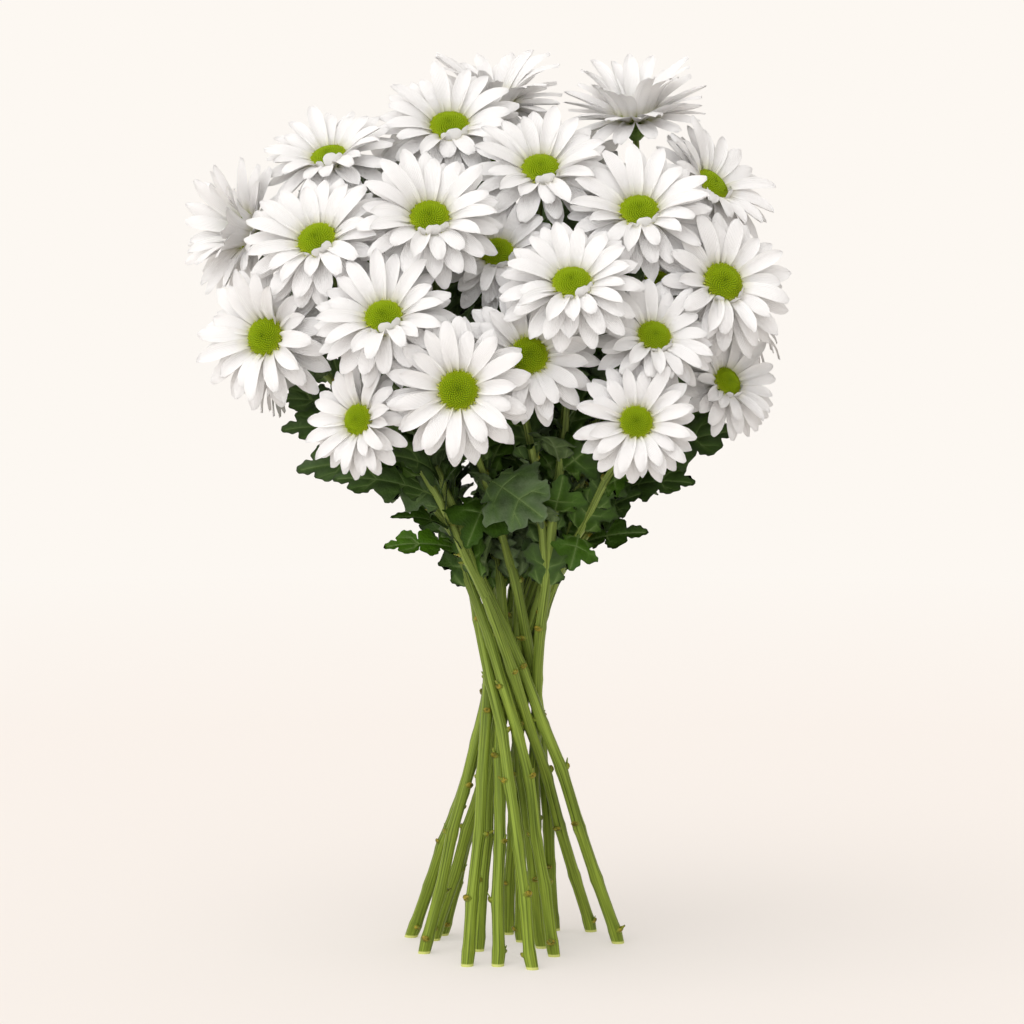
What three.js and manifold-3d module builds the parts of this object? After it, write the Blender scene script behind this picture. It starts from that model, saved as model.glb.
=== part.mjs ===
// A bunch of daisy chrysanthemums: sixteen cut stems in a spiral bundle that stands on its splayed
// ends, two blooms to a stem. Millimetres, +Z up, blooms facing -Y in front; the cut ends are at z = 0.
import * as THREE from "three";
import { mergeVertices } from "three/addons/utils/BufferGeometryUtils.js";
import Module from "manifold-3d";

const wasm = await Module();
wasm.setup();

// ---- Driving sizes ------------------------------------------------------------------------------
const AXIS = [10.75, -1]; // where the bundle's own axis stands, so that the box's centre is at x = y = 0
const WAIST = { z: 130, radius: 15, pull: 0.012 }; // height and ring of stem centres at the narrowest
const STEM = { foot: 3.1, waist: 2.8, neck: 1.8, sides: 7, lowSteps: 3, highSteps: 8 };
const BRANCH = { root: 2, neck: 1.7, sides: 5, steps: 6 };
// How far the handles of the routes reach: below the waist in millimetres, elsewhere as shares.
const BEND = { low: 43, high: 0.36, top: 0.8, leave: 0.34, arrive: 0.3 };
const CLEAR = 0.3; // gap between pieces that touch
const STEM_GAP = 0.3; // gap that the stems' round outlines keep
const RELAX = { rounds: 260, pulled: 246, push: 0.4, stiff: 0.12 };
const FULL_BLOOM = 34; // the bloom radius that the head sizes below belong to
const HEAD = { disc: 9.9, dome: 3.8, neck: 4.6, cup: 9, cupZ: -4, edge: 0.3, root: 12 };
const BULK = { radius: 11, low: -5, high: 1 }; // the room that stems leave around a head
const HUB = { inner: 5.8, outer: 10.5, bottom: -3.7, top: -CLEAR, step: 0.7 };
const RAY = { count: 7, thick: 0.7, wide: 13.2, tip: 7.4, widest: 0.62, curl: 14, spread: 5, keep: 0.5 };
const LEAF = { thick: 0.8, stalk: 0.2, halfStalk: 1.2, bow: 0.1, fold: 14, large: 40, keep: 0.4 };
const COLOUR = { ray: 0xf7f6f2, green: 0x5f8a2c };

// ---- Layout -------------------------------------------------------------------------------------
// Each bloom: centre of its disc's base, the way it faces (turn from -Y toward +X, rise), its radius.
const BLOOMS = {
  B01: { at: [-31, -6, 412], turn: -1, rise: 44, r: 35 },
  B02: { at: [-90, -20, 396], turn: -18, rise: 52, r: 32 },
  B03: { at: [14, -38, 389], turn: 1, rise: 42, r: 34 },
  B04: { at: [-39, -78, 364], turn: 1, rise: 34, r: 34 },
  B05: { at: [-93, -66, 354], turn: -17, rise: 36, r: 34 },
  B06: { at: [61, -58, 368], turn: -1, rise: 40, r: 34 },
  B07: { at: [99, -6, 383], turn: 46, rise: 36, r: 33 },
  B08: { at: [-7, -58, 348], turn: 0, rise: 32, r: 29 },
  B09: { at: [28, -97, 333], turn: -3, rise: 41, r: 33 },
  B10: { at: [101, -60, 334], turn: 22, rise: 23, r: 35 },
  B11: { at: [-60, -98, 317], turn: -8, rise: 33, r: 32 },
  B12: { at: [-118, -62, 308], turn: -28, rise: 11, r: 34 },
  B13: { at: [8, -94, 299], turn: 9, rise: 16, r: 32 },
  B14: { at: [67, -86, 308], turn: 15, rise: 32, r: 29 },
  B15: { at: [-25, -112, 283], turn: 1, rise: 7, r: 33 },
  B16: { at: [-72, -96, 269], turn: -34, rise: 10, r: 27 },
  B17: { at: [58, -104, 268], turn: 4, rise: 18, r: 28 },
  B18: { at: [104, -48, 286], turn: 37, rise: 25, r: 27 },
  B19: { at: [62, 20, 419], turn: -10, rise: 74, r: 35 },
  B20: { at: [-131, -14, 360], turn: -54, rise: 12, r: 33 },
  B21: { at: [-9, 40, 427], turn: 6, rise: 69, r: 34 },
  B22: { at: [72, -12, 334], turn: 12, rise: 34, r: 27 },
  B23: { at: [-92, 50, 345], turn: -119, rise: 30, r: 33 },
  B24: { at: [-62, 90, 300], turn: -145, rise: 15, r: 33 },
  B25: { at: [-18, 103, 338], turn: -170, rise: 28, r: 33 },
  B26: { at: [24, 108, 292], turn: 168, rise: 12, r: 32 },
  B27: { at: [62, 86, 345], turn: 144, rise: 30, r: 33 },
  B28: { at: [97, 56, 298], turn: 120, rise: 14, r: 32 },
  B29: { at: [36, 64, 388], turn: 150, rise: 55, r: 33 },
  B30: { at: [-58, 48, 388], turn: -130, rise: 50, r: 33 },
  B31: { at: [-118, 22, 300], turn: -101, rise: 15, r: 31 },
  B32: { at: [114, 10, 322], turn: 95, rise: 22, r: 32 },
};

// Each stem: where its cut end stands, where it passes the waist (a place in the ring of eleven, or
// a point inside it), the bloom at its top, and the bloom on its side branch with the fork's step.
const RING = 11;
const ringPlace = (k) => polar(WAIST.radius, -168 + (360 / RING) * k);
const STEMS = [
  { foot: [-22, -44], waist: ringPlace(0), top: "B25", side: "B26", fork: 2 },
  { foot: [10, -52], waist: ringPlace(1), top: "B23", side: "B24", fork: 2 },
  { foot: [21, -19], waist: ringPlace(2), top: "B20", side: "B31", fork: 2 },
  { foot: [41, 49], waist: ringPlace(3), top: "B11", side: "B16", fork: 2 },
  { foot: [54, 16], waist: ringPlace(4), top: "B05", side: "B12", fork: 2 },
  { foot: [12, 41], waist: ringPlace(5), top: "B09", side: "B13", fork: 2 },
  { foot: [22, 52], waist: ringPlace(6), top: "B04", side: "B15", fork: 2 },
  { foot: [-2, 41], waist: ringPlace(7), top: "B14", side: "B17", fork: 2 },
  { foot: [-36, 38], waist: ringPlace(8), top: "B10", side: "B18", fork: 2 },
  { foot: [-52, 33], waist: ringPlace(9), top: "B07", side: "B32", fork: 2 },
  { foot: [-44, -11], waist: ringPlace(10), top: "B27", side: "B28", fork: 2 },
  { foot: [-7, -44], waist: [-6, -4.5], top: "B21", side: "B30", fork: 3 },
  { foot: [-17, -5], waist: [-6.5, 3], top: "B19", side: "B29", fork: 3 },
  { foot: [15, 3], waist: [1, -4.5], top: "B01", side: "B02", fork: 3 },
  { foot: [5, 20], waist: [4.5, 3.5], top: "B03", side: "B08", fork: 3 },
  { foot: [-40, 24], waist: [-1.5, 7], top: "B06", side: "B22", fork: 2 },
];

// Each leaf: the stem it grows on (or that stem's side branch), how many steps up that route from the
// waist or the fork, where its tip is, its width, and the way its upper side looks where that isn't up.
const LEAVES = [
  { on: 4, side: true, step: 3.4, tip: [-115, -42, 278], wide: 20, face: [-10, 30] },
  { on: 4, side: true, step: 2.8, tip: [-112, -44, 263], wide: 28, face: [-10, 35] },
  { on: 4, side: true, step: 2.2, tip: [-105, -40, 243], wide: 28, face: [-20, 25] },
  { on: 3, side: true, step: 2.8, tip: [-86, -62, 240], wide: 28, face: [-10, 40] },
  { on: 4, step: 2.6, tip: [-60, -26, 219], wide: 14, face: [0, 60] },
  { on: 4, step: 2.3, tip: [-63, -30, 205], wide: 17, face: [0, 40] },
  { on: 3, step: 3.7, tip: [-57, -56, 242], wide: 28, face: [-15, 25] },
  { on: 6, side: true, step: 1.9, tip: [-23, -52, 202], wide: 34, face: [0, 15] },
  { on: 6, side: true, step: 2.4, tip: [16, -60, 220], wide: 42, face: [0, 15] },
  { on: 5, step: 3.3, tip: [25, -48, 241], wide: 30, face: [5, 15] },
  { on: 5, step: 4.1, tip: [43, -52, 258], wide: 28, face: [10, 15] },
  { on: 7, side: true, step: 1.8, tip: [28, -42, 194], wide: 26, face: [10, 15] },
  { on: 7, side: true, step: 3.2, tip: [61, -60, 242], wide: 24, face: [0, 35] },
  { on: 8, side: true, step: 3.2, tip: [110, -34, 262], wide: 34, face: [15, 35] },
  { on: 8, side: true, step: 2.3, tip: [90, -30, 236], wide: 28, face: [10, 40] },
  { on: 8, side: true, step: 1.3, tip: [75, -24, 226], wide: 28, face: [15, 30] },
  { on: 8, side: true, step: 0.8, tip: [68, -16, 211], wide: 18, face: [15, 30] },
  { on: 3, step: 4.2, tip: [-58, -82, 252], wide: 26, face: [0, 30] },
  { on: 6, step: 5, tip: [-12, -66, 312], wide: 24 },
  { on: 9, step: 4, tip: [70, -12, 282], wide: 28 },
  { on: 2, step: 4, tip: [-84, -8, 290], wide: 28 },
  { on: 2, side: true, step: 2.4, tip: [-92, 14, 240], wide: 30 },
  { on: 1, side: true, step: 2.4, tip: [-62, 56, 222], wide: 30 },
  { on: 0, side: true, step: 2.2, tip: [-8, 72, 214], wide: 32 },
  { on: 10, side: true, step: 1.8, tip: [52, 58, 220], wide: 32 },
  { on: 10, step: 4, tip: [36, 68, 262], wide: 28 },
  { on: 9, side: true, step: 1.6, tip: [74, 24, 228], wide: 30 },
  { on: 12, side: true, step: 2, tip: [10, 58, 300], wide: 26 },
];

// ---- Small helpers ------------------------------------------------------------------------------
function polar(radius, degrees) {
  const a = THREE.MathUtils.degToRad(degrees);
  return [radius * Math.cos(a), radius * Math.sin(a)];
}
const rad = THREE.MathUtils.degToRad;
const vec = (x, y, z) => new THREE.Vector3(x, y, z);
const along = (p, d, k) => p.clone().addScaledVector(d, k);

// The way something faces: its turn from -Y toward +X, and its rise.
function facing(turn, rise) {
  const level = Math.cos(rad(rise));
  return vec(Math.sin(rad(turn)) * level, -Math.cos(rad(turn)) * level, Math.sin(rad(rise)));
}

// Repeatable draws between -1 and 1.
function draws(seed) {
  let s = seed;
  return () => {
    s = (s * 1664525 + 1013904223) % 4294967296;
    return (s / 4294967296) * 2 - 1;
  };
}

// A closed triangle list as a manifold solid.
function solidOf(points, faces) {
  const solid = new wasm.Manifold(
    new wasm.Mesh({
      numProp: 3,
      vertProperties: new Float32Array(points.flatMap((p) => [p.x, p.y, p.z])),
      triVerts: new Uint32Array(faces.flat()),
    }),
  );
  if (solid.volume() <= 0) throw new Error("a solid is inside out");
  return solid;
}

function meshOf(name, solid, material) {
  const { vertProperties, triVerts } = solid.getMesh();
  let shape = new THREE.BufferGeometry();
  shape.setAttribute("position", new THREE.BufferAttribute(vertProperties, 3));
  shape.setIndex(new THREE.BufferAttribute(triVerts, 1));
  shape = mergeVertices(shape, 1e-4);
  shape.computeVertexNormals();
  const mesh = new THREE.Mesh(shape, material);
  mesh.name = name;
  return mesh;
}

// ---- Stem routes --------------------------------------------------------------------------------
// The frame of a bloom's head: its base point and the way it faces.
function headOf(key) {
  const { at, turn, rise, r } = BLOOMS[key];
  return { key, base: vec(...at), axis: facing(turn, rise), scale: r / FULL_BLOOM, r };
}

function bezier(a, b, c, d, steps) {
  return new THREE.CubicBezierCurve3(a, b, c, d).getPoints(steps);
}

// A stem runs from its cut end to the waist, and on to the underside of its top bloom.
function stemRoute({ foot, waist, top }) {
  const head = headOf(top);
  const start = vec(...foot, 0);
  const mid = vec(...waist, WAIST.z);
  const end = along(head.base, head.axis, -HEAD.root);
  const lower = mid.clone().sub(start).normalize();
  const upper = end.clone().sub(mid).normalize();
  const through = lower.clone().add(upper).normalize();
  const span = end.distanceTo(mid) * BEND.high;
  const under = along(end, head.axis, -span * BEND.top);
  const into = along(mid, through, -BEND.low);
  const low = bezier(start, along(start, lower, BEND.low), into, mid, STEM.lowSteps);
  const high = bezier(mid, along(mid, through, span), under, end, STEM.highSteps);
  const points = [...low, ...high.slice(1)];
  const radii = points.map((_, i) =>
    i < STEM.lowSteps
      ? THREE.MathUtils.lerp(STEM.foot, STEM.waist, i / STEM.lowSteps)
      : THREE.MathUtils.lerp(STEM.waist, STEM.neck, (i - STEM.lowSteps) / STEM.highSteps),
  );
  return { points, radii, head };
}

// A side branch leaves its stem at the fork and runs to the underside of its own bloom.
function branchRoute(stem, key) {
  const head = headOf(key);
  const start = stem.points[stem.fork].clone();
  const ahead = stem.points[stem.fork + 1].clone().sub(start).normalize();
  const end = along(head.base, head.axis, -HEAD.root);
  const reach = end.distanceTo(start);
  const lean = end.clone().sub(start).normalize().add(ahead).normalize();
  const under = along(end, head.axis, -reach * BEND.arrive);
  const points = bezier(start, along(start, lean, reach * BEND.leave), under, end, BRANCH.steps);
  const radii = points.map((_, i) => THREE.MathUtils.lerp(BRANCH.root, BRANCH.neck, i / BRANCH.steps));
  return { points, radii, head };
}

// The nearest points of two segments, as shares of their lengths.
function nearest(p, q, u, v) {
  const clamp = (x) => Math.min(1, Math.max(0, x));
  const d1 = q.clone().sub(p), d2 = v.clone().sub(u), r = p.clone().sub(u);
  const a = d1.dot(d1), e = d2.dot(d2), f = d2.dot(r), c = d1.dot(r), b = d1.dot(d2);
  const flat = a * e - b * b;
  let s = flat > 1e-9 ? clamp((b * f - c * e) / flat) : 0.5;
  let t = (b * s + f) / e;
  if (t < 0) [s, t] = [clamp(-c / a), 0];
  else if (t > 1) [s, t] = [clamp((b - c) / a), 1];
  return [s, t];
}

// Pushes routes apart until their round outlines are STEM_GAP clear, pulling them in at the waist.
// Cut ends, the last stretch under each head and the heads themselves stay where they are.
function relax(routes) {
  const rest = routes.map(({ points }) => points.map((p, i) => bendAt(points, i)));
  for (let round = 0; round < RELAX.rounds; round++) {
    const moves = routes.map(({ points }) => points.map(() => vec(0, 0, 0)));
    for (let i = 0; i < routes.length; i++)
      for (let j = i + 1; j < routes.length; j++)
        if (routes[i].node !== routes[j].node) pushApart(routes[i], routes[j], moves[i], moves[j]);
    routes.forEach((route, i) => {
      if (!route.free) return;
      for (const k of route.free) {
        const stray = bendAt(route.points, k).sub(rest[i][k]);
        moves[i][k].addScaledVector(stray, RELAX.stiff);
        if (k === route.waist && round < RELAX.pulled) {
          moves[i][k].x -= route.points[k].x * WAIST.pull;
          moves[i][k].y -= route.points[k].y * WAIST.pull;
        }
      }
      for (const k of route.free) route.points[k].add(moves[i][k]);
    });
    for (const route of routes) if (route.parent) route.points[0].copy(route.parent.points[route.forkAt]);
  }
}

function bendAt(points, k) {
  if (k === 0 || k === points.length - 1) return vec(0, 0, 0);
  return points[k - 1].clone().add(points[k + 1]).multiplyScalar(0.5).sub(points[k]);
}

function pushApart(a, b, moveA, moveB) {
  for (let i = 0; i + 1 < a.points.length; i++)
    for (let j = 0; j + 1 < b.points.length; j++) {
      const [p, q, u, v] = [a.points[i], a.points[i + 1], b.points[j], b.points[j + 1]];
      const need = Math.max(a.radii[i], a.radii[i + 1]) + Math.max(b.radii[j], b.radii[j + 1]) + STEM_GAP;
      const above = Math.min(p.z, q.z) - Math.max(u.z, v.z);
      const below = Math.min(u.z, v.z) - Math.max(p.z, q.z);
      if (above > need || below > need) continue;
      const [s, t] = nearest(p, q, u, v);
      const away = p.clone().lerp(q, s).sub(u.clone().lerp(v, t));
      const gap = away.length();
      if (gap >= need || gap < 1e-6) continue;
      away.multiplyScalar(((need - gap) * RELAX.push) / gap);
      moveA[i].addScaledVector(away, 1 - s);
      moveA[i + 1].addScaledVector(away, s);
      moveB[j].addScaledVector(away, t - 1);
      moveB[j + 1].addScaledVector(away, -t);
    }
}

// All routes, relaxed: one stem and one branch for each entry of STEMS.
function layRoutes() {
  const routes = [];
  STEMS.forEach((entry, node) => {
    const stem = { ...stemRoute(entry), node, waist: STEM.lowSteps, fork: STEM.lowSteps + entry.fork };
    stem.free = inner(stem.points.length);
    const branch = { ...branchRoute(stem, entry.side), node, parent: stem, forkAt: stem.fork };
    branch.free = inner(branch.points.length);
    routes.push(stem, branch);
  });
  const heads = routes.map(({ head, node }) => ({
    node,
    points: [along(head.base, head.axis, BULK.low), along(head.base, head.axis, BULK.high)],
    radii: [BULK.radius * head.scale, BULK.radius * head.scale],
  }));
  relax([...routes, ...heads]);
  return STEMS.map((_, node) => ({ stem: routes[2 * node], branch: routes[2 * node + 1] }));
}
const inner = (count) => Array.from({ length: count - 3 }, (_, i) => i + 1);

// ---- Stem solids --------------------------------------------------------------------------------
// Rings of points around a route, carried along it without twist.
function ringsAlong(points, radii, sides, endAxis) {
  const tangent = (i) => {
    if (i === points.length - 1) return endAxis.clone();
    if (i === 0) return points[1].clone().sub(points[0]).normalize();
    return points[i + 1].clone().sub(points[i - 1]).normalize();
  };
  let side = vec(1, 0, 0).cross(tangent(0)).normalize();
  return points.map((p, i) => {
    const t = tangent(i);
    side = along(side, t, -side.dot(t)).normalize();
    return { ring: ringAt(p, t, side, radii[i], sides), side };
  });
}

function ringAt(centre, axis, side, radius, sides) {
  const other = axis.clone().cross(side);
  return Array.from({ length: sides }, (_, k) => {
    const a = (2 * Math.PI * k) / sides;
    return along(along(centre, side, radius * Math.cos(a)), other, radius * Math.sin(a));
  });
}

// Skins rings into a closed solid, with a flat first end and a point or a flat last end.
function skin(rings, apex) {
  const sides = rings[0].length;
  const points = [...rings.flat(), ...(apex ? [apex] : [])];
  const faces = [];
  for (let i = 0; i + 1 < rings.length; i++)
    for (let k = 0; k < sides; k++) {
      const a = i * sides + k, b = i * sides + ((k + 1) % sides);
      faces.push([a, b, b + sides], [a, b + sides, a + sides]);
    }
  for (let k = 1; k + 1 < sides; k++) faces.push([0, k + 1, k]);
  const last = (rings.length - 1) * sides;
  if (apex)
    for (let k = 0; k < sides; k++) faces.push([last + k, last + ((k + 1) % sides), points.length - 1]);
  return solidOf(points, faces);
}

// The green head: cup of bracts, neck through the ring of rays, and the domed disc.
function headRings({ base, axis, scale }, side, sides) {
  const profile = [
    [HEAD.cupZ - HEAD.edge, HEAD.cup * scale],
    [HEAD.cupZ, HEAD.neck * scale],
    [0, HEAD.neck * scale],
    [HEAD.edge, HEAD.disc * scale],
  ];
  return profile.map(([z, r]) => ringAt(along(base, axis, z), axis, side, r, sides));
}

function shootSolid({ points, radii, head }, sides, cutFlat) {
  const carried = ringsAlong(points, radii, sides, head.axis);
  const rings = carried.map(({ ring }) => ring);
  if (cutFlat) {
    const down = points[1].clone().sub(points[0]).normalize();
    rings[0].forEach((p) => p.addScaledVector(down, -p.z / down.z).setZ(0));
  }
  rings.push(...headRings(head, carried.at(-1).side, sides));
  return skin(rings, along(head.base, head.axis, HEAD.dome));
}

// ---- Blooms -------------------------------------------------------------------------------------
const LOWER = { rest: -3, tries: [0, -8, 7, -16, -24, -33], low: true };
const UPPER = { rest: 25, tries: [0, 8, -8, 16, 25, 36] };
const LENGTHS = [1, 0.82, 0.64, 0.46];
const SWINGS = [0, 9, -9];

// One ray's sections beyond its root, in the bloom's frame: [left low, right low, right top, left top].
function raySections(angle, lift, length, head, startZ) {
  const start = HUB.outer * head.scale;
  const rise1 = rad(lift + RAY.curl / 2), rise2 = rad(lift - RAY.curl / 2);
  const reach = (head.r - start) * length;
  const first = reach * RAY.widest, second = reach - first;
  const r1 = start + first * Math.cos(rise1), z1 = startZ + first * Math.sin(rise1);
  const r2 = r1 + second * Math.cos(rise2), z2 = z1 + second * Math.sin(rise2);
  const narrow = head.scale * THREE.MathUtils.lerp(RAY.keep, 1, length);
  return [
    raySection(angle, r1, z1, (rise1 + rise2) / 2, RAY.wide * narrow),
    raySection(angle, r2, z2, rise2, RAY.tip * narrow),
  ];
}

function raySection(angle, r, z, rise, width) {
  const out = vec(Math.cos(angle), Math.sin(angle), 0);
  const across = vec(-Math.sin(angle), Math.cos(angle), 0);
  const up = vec(-Math.sin(rise) * out.x, -Math.sin(rise) * out.y, Math.cos(rise));
  const centre = vec(r * out.x, r * out.y, z);
  const corner = (s, t) => along(along(centre, across, (s * width) / 2), up, (t * RAY.thick) / 2);
  return [corner(-1, -1), corner(1, -1), corner(1, 1), corner(-1, 1)];
}

// The bloom's frame in the world: the disc's base, spun about the way it faces.
function bloomFrame(head, spin) {
  const right = vec(0, 0, 1).cross(head.axis).normalize();
  const up = head.axis.clone().cross(right);
  const x = right.clone().multiplyScalar(Math.cos(spin)).addScaledVector(up, Math.sin(spin));
  const y = head.axis.clone().cross(x);
  return new THREE.Matrix4().makeBasis(x, y, head.axis).setPosition(head.base);
}

// Corners of the ring that carries the rays, in four rows up its wall.
function hubRows(count, scale) {
  const { inner: hole, outer, bottom, top, step } = HUB;
  const mid = (bottom + top) / 2;
  const row = (r, z, offset) =>
    Array.from({ length: count }, (_, i) => vec(...polar(r * scale, (360 / count) * (i + offset)), z));
  return {
    a: row(outer, bottom, 0.5),
    b: row(outer, mid - step / 2, 0.5),
    c: row(outer, mid + step / 2, 0),
    d: row(outer, top, 0),
    e: row(hole, bottom, 0.5),
    f: row(hole, top, 0),
  };
}

// A ray as a solid of its own, from its four root corners out, to test what it would touch.
function rayBody(root, sections, frame) {
  const all = [root, ...sections].map((s) => s.map((p) => p.clone().applyMatrix4(frame)));
  return solidOf(all.flat(), [[0, 2, 1], [0, 3, 2], ...rayFaces([0, 4, 8])]);
}

// Side and tip faces of a ray whose sections start at the given indices.
function rayFaces(starts, roots) {
  const at = (s, k) => (s === 0 && roots ? roots[k % 4] : starts[s] + (k % 4));
  const faces = [];
  for (let s = 0; s + 1 < starts.length; s++)
    for (let k = 0; k < 4; k++)
      faces.push([at(s, k), at(s, k + 1), at(s + 1, k + 1)], [at(s, k), at(s + 1, k + 1), at(s + 1, k)]);
  const tip = starts.at(-1);
  return [...faces, [tip, tip + 1, tip + 2], [tip, tip + 2, tip + 3]];
}

// The white part of one bloom: a ring with two layers of rays, each ray bent clear of what is there.
function bloomSolid(head, seed, space) {
  const draw = draws(seed);
  const count = RAY.count;
  const frame = bloomFrame(head, draw() * Math.PI);
  const rows = hubRows(count, head.scale);
  const points = [...rows.a, ...rows.b, ...rows.c, ...rows.d, ...rows.e, ...rows.f];
  const [A, B, C, D, E, F] = [0, 1, 2, 3, 4, 5].map((k) => (i) => k * count + ((i + count) % count));
  const faces = [];
  for (let i = 0; i < count; i++) {
    faces.push([B(i - 1), B(i), C(i)], [C(i), B(i), C(i + 1)]);
    faces.push([A(i - 1), E(i - 1), E(i)], [A(i - 1), E(i), A(i)]);
    faces.push([D(i), D(i + 1), F(i + 1)], [D(i), F(i + 1), F(i)]);
    faces.push([E(i), E(i - 1), F(i)], [E(i), F(i), F(i + 1)]);
  }
  const bodies = [];
  for (const layer of [LOWER, UPPER])
    for (let i = 0; i < count; i++) {
      const roots = layer.low ? [A(i - 1), A(i), B(i), B(i - 1)] : [C(i), C(i + 1), D(i + 1), D(i)];
      const angle = ((2 * Math.PI) / count) * (layer.low ? i : i + 0.5);
      const corners = roots.map((k) => points[k]);
      const startZ = (corners[0].z + corners[2].z) / 2;
      const rest = layer.rest + RAY.spread * draw();
      const { sections, body } = clearRay(angle, rest, layer.tries, head, startZ, corners, frame, space);
      const first = points.length;
      points.push(...sections.flat());
      faces.push(...rayFaces([0, first, first + 4], roots));
      bodies.push(body);
    }
  bodies.forEach((body) => space.push(thing(body)));
  return solidOf(points.map((p) => p.clone().applyMatrix4(frame)), faces);
}

function clearRay(angle, rest, tries, head, startZ, corners, frame, space) {
  for (const length of LENGTHS)
    for (const swing of SWINGS)
      for (const offset of tries) {
        const sections = raySections(angle + rad(swing), rest + offset, length, head, startZ);
        const body = rayBody(corners, sections, frame);
        if (isClear(body, space)) return { sections, body };
      }
  throw new Error("a ray of " + head.key + " finds no clear place");
}

// Things already placed, with their boxes, so that a test only meets near ones.
function thing(solid) {
  return { solid, box: solid.boundingBox() };
}

function isClear(body, space) {
  const box = body.boundingBox();
  const near = (other) =>
    [0, 1, 2].every((k) => box.min[k] - CLEAR < other.max[k] && other.min[k] < box.max[k] + CLEAR);
  return space.every(({ solid, box: other }) => !near(other) || body.minGap(solid, CLEAR) > CLEAR * 0.95);
}

// ---- Leaves -------------------------------------------------------------------------------------
// Half an outline, base to tip: each lobe and the notch after it, as shares of half width and length.
const LOBES = {
  small: [[0.55, 0.36], [0.3, 0.47], [1, 0.62], [0.42, 0.76]],
  large: [[0.5, 0.3], [0.3, 0.4], [1, 0.52], [0.42, 0.62], [0.74, 0.8], [0.3, 0.86]],
};
// A leaf that would touch something tips, then swings, by these angles, and then grows shorter.
const LEAF_TIPS = [0, 10, -10, 20, -20, 32, -32];
const LEAF_SWINGS = [0, 14, -14, 28, -28];
const LEAF_LENGTHS = [1, 0.84, 0.68, 0.54];

// Where a leaf sits: its base on the route, its direction, its upper side and its length.
function leafPlace({ side, step, tip, face }, { stem, branch }) {
  const route = side ? branch : stem;
  const from = side ? step : step + STEM.lowSteps;
  const k = Math.floor(from);
  const base = route.points[k].clone().lerp(route.points[k + 1], from - k);
  const chord = vec(...tip).sub(base);
  const length = chord.length();
  const ahead = chord.normalize();
  const hint = face ? facing(...face) : vec(0, 0, 1);
  const up = along(hint, ahead, -hint.dot(ahead)).normalize();
  return { base, ahead, up, length };
}

function leafSolid({ base, ahead, up, length }, wide) {
  const across = ahead.clone().cross(up);
  const at = (x, y, half) => {
    const lift = LEAF.bow * length * 4 * y * (1 - y) + Math.abs(x) * Math.tan(rad(LEAF.fold));
    return base.clone().addScaledVector(across, x).addScaledVector(ahead, y * length)
      .addScaledVector(up, lift + half * LEAF.thick);
  };
  const lobes = length > LEAF.large ? LOBES.large : LOBES.small;
  const edges = lobes.map(([x, y]) => [(x * wide) / 2, y]);
  const right = [[LEAF.halfStalk, 0], [LEAF.halfStalk, LEAF.stalk], ...edges];
  const left = right.map(([x, y]) => [-x, y]);
  const ribs = lobes.filter((_, i) => i % 2 === 1).slice(0, -1).map(([, y]) => [0, y]);
  const flat = [...right, [0, 1], ...left.reverse(), ...ribs];
  const count = flat.length, tip = right.length, edge = 2 * right.length + 1;
  const half = (side) => {
    const outline = (i) => (side > 0 ? i : edge - 1 - i);
    const turn = (a, b, c) => (side > 0 ? [a, b, c] : [a, c, b]);
    const faces = [turn(outline(1), outline(2), outline(3)), turn(outline(1), outline(3), edge)];
    for (let j = 1; 2 * j + 3 <= right.length; j++) {
      faces.push(turn(edge + j - 1, outline(2 * j + 1), outline(2 * j + 2)));
      faces.push(turn(edge + j - 1, outline(2 * j + 2), outline(2 * j + 3)));
      if (j < ribs.length) faces.push(turn(edge + j - 1, outline(2 * j + 3), edge + j));
    }
    return [...faces, turn(edge + ribs.length - 1, outline(tip - 1), tip)];
  };
  const top = [...half(1), ...half(-1), [edge - 2, 1, edge], [edge - 1, 0, 1], [edge - 1, 1, edge - 2]];
  const under = top.map(([a, b, c]) => [a + count, c + count, b + count]);
  const rim = Array.from({ length: edge }, (_, i) => [i, (i + 1) % edge])
    .flatMap(([a, b]) => [[a + count, b + count, b], [a + count, b, a]]);
  const points = [0.5, -0.5].flatMap((side) => flat.map(([x, y]) => at(x, y, side)));
  return solidOf(points, [...top, ...under, ...rim]);
}

function clearLeaf(entry, shoot, space) {
  const place = leafPlace(entry, shoot);
  const across = place.ahead.clone().cross(place.up);
  for (const length of LEAF_LENGTHS)
    for (const swing of LEAF_SWINGS)
      for (const tip of LEAF_TIPS) {
        const ahead = place.ahead.clone();
        ahead.applyAxisAngle(across, rad(tip)).applyAxisAngle(place.up, rad(swing));
        const up = place.up.clone().applyAxisAngle(across, rad(tip));
        const wide = entry.wide * THREE.MathUtils.lerp(LEAF.keep, 1, length);
        const body = leafSolid({ base: place.base, ahead, up, length: place.length * length }, wide);
        if (isClear(body, space)) return body;
      }
  throw new Error("the leaf to " + entry.tip + " finds no clear place");
}

// ---- The bunch ----------------------------------------------------------------------------------
const rayMaterial = new THREE.MeshStandardMaterial({ color: COLOUR.ray, roughness: 0.75, metalness: 0 });
const greenMaterial = new THREE.MeshStandardMaterial({ color: COLOUR.green, roughness: 0.6, metalness: 0 });
const bunch = new THREE.Group();
bunch.position.set(AXIS[0], AXIS[1], 0);

const shoots = layRoutes();
const greens = shoots.map(({ stem, branch }) =>
  shootSolid(stem, STEM.sides, true).add(shootSolid(branch, BRANCH.sides, false)),
);
const space = greens.map(thing);

const heads = shoots.flatMap(({ stem, branch }) => [stem.head, branch.head]);
heads.sort((a, b) => a.base.y - b.base.y);
for (const head of heads) {
  const number = head.key.slice(1);
  bunch.add(meshOf("bloom_" + number, bloomSolid(head, Number(number), space), rayMaterial));
}

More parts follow.
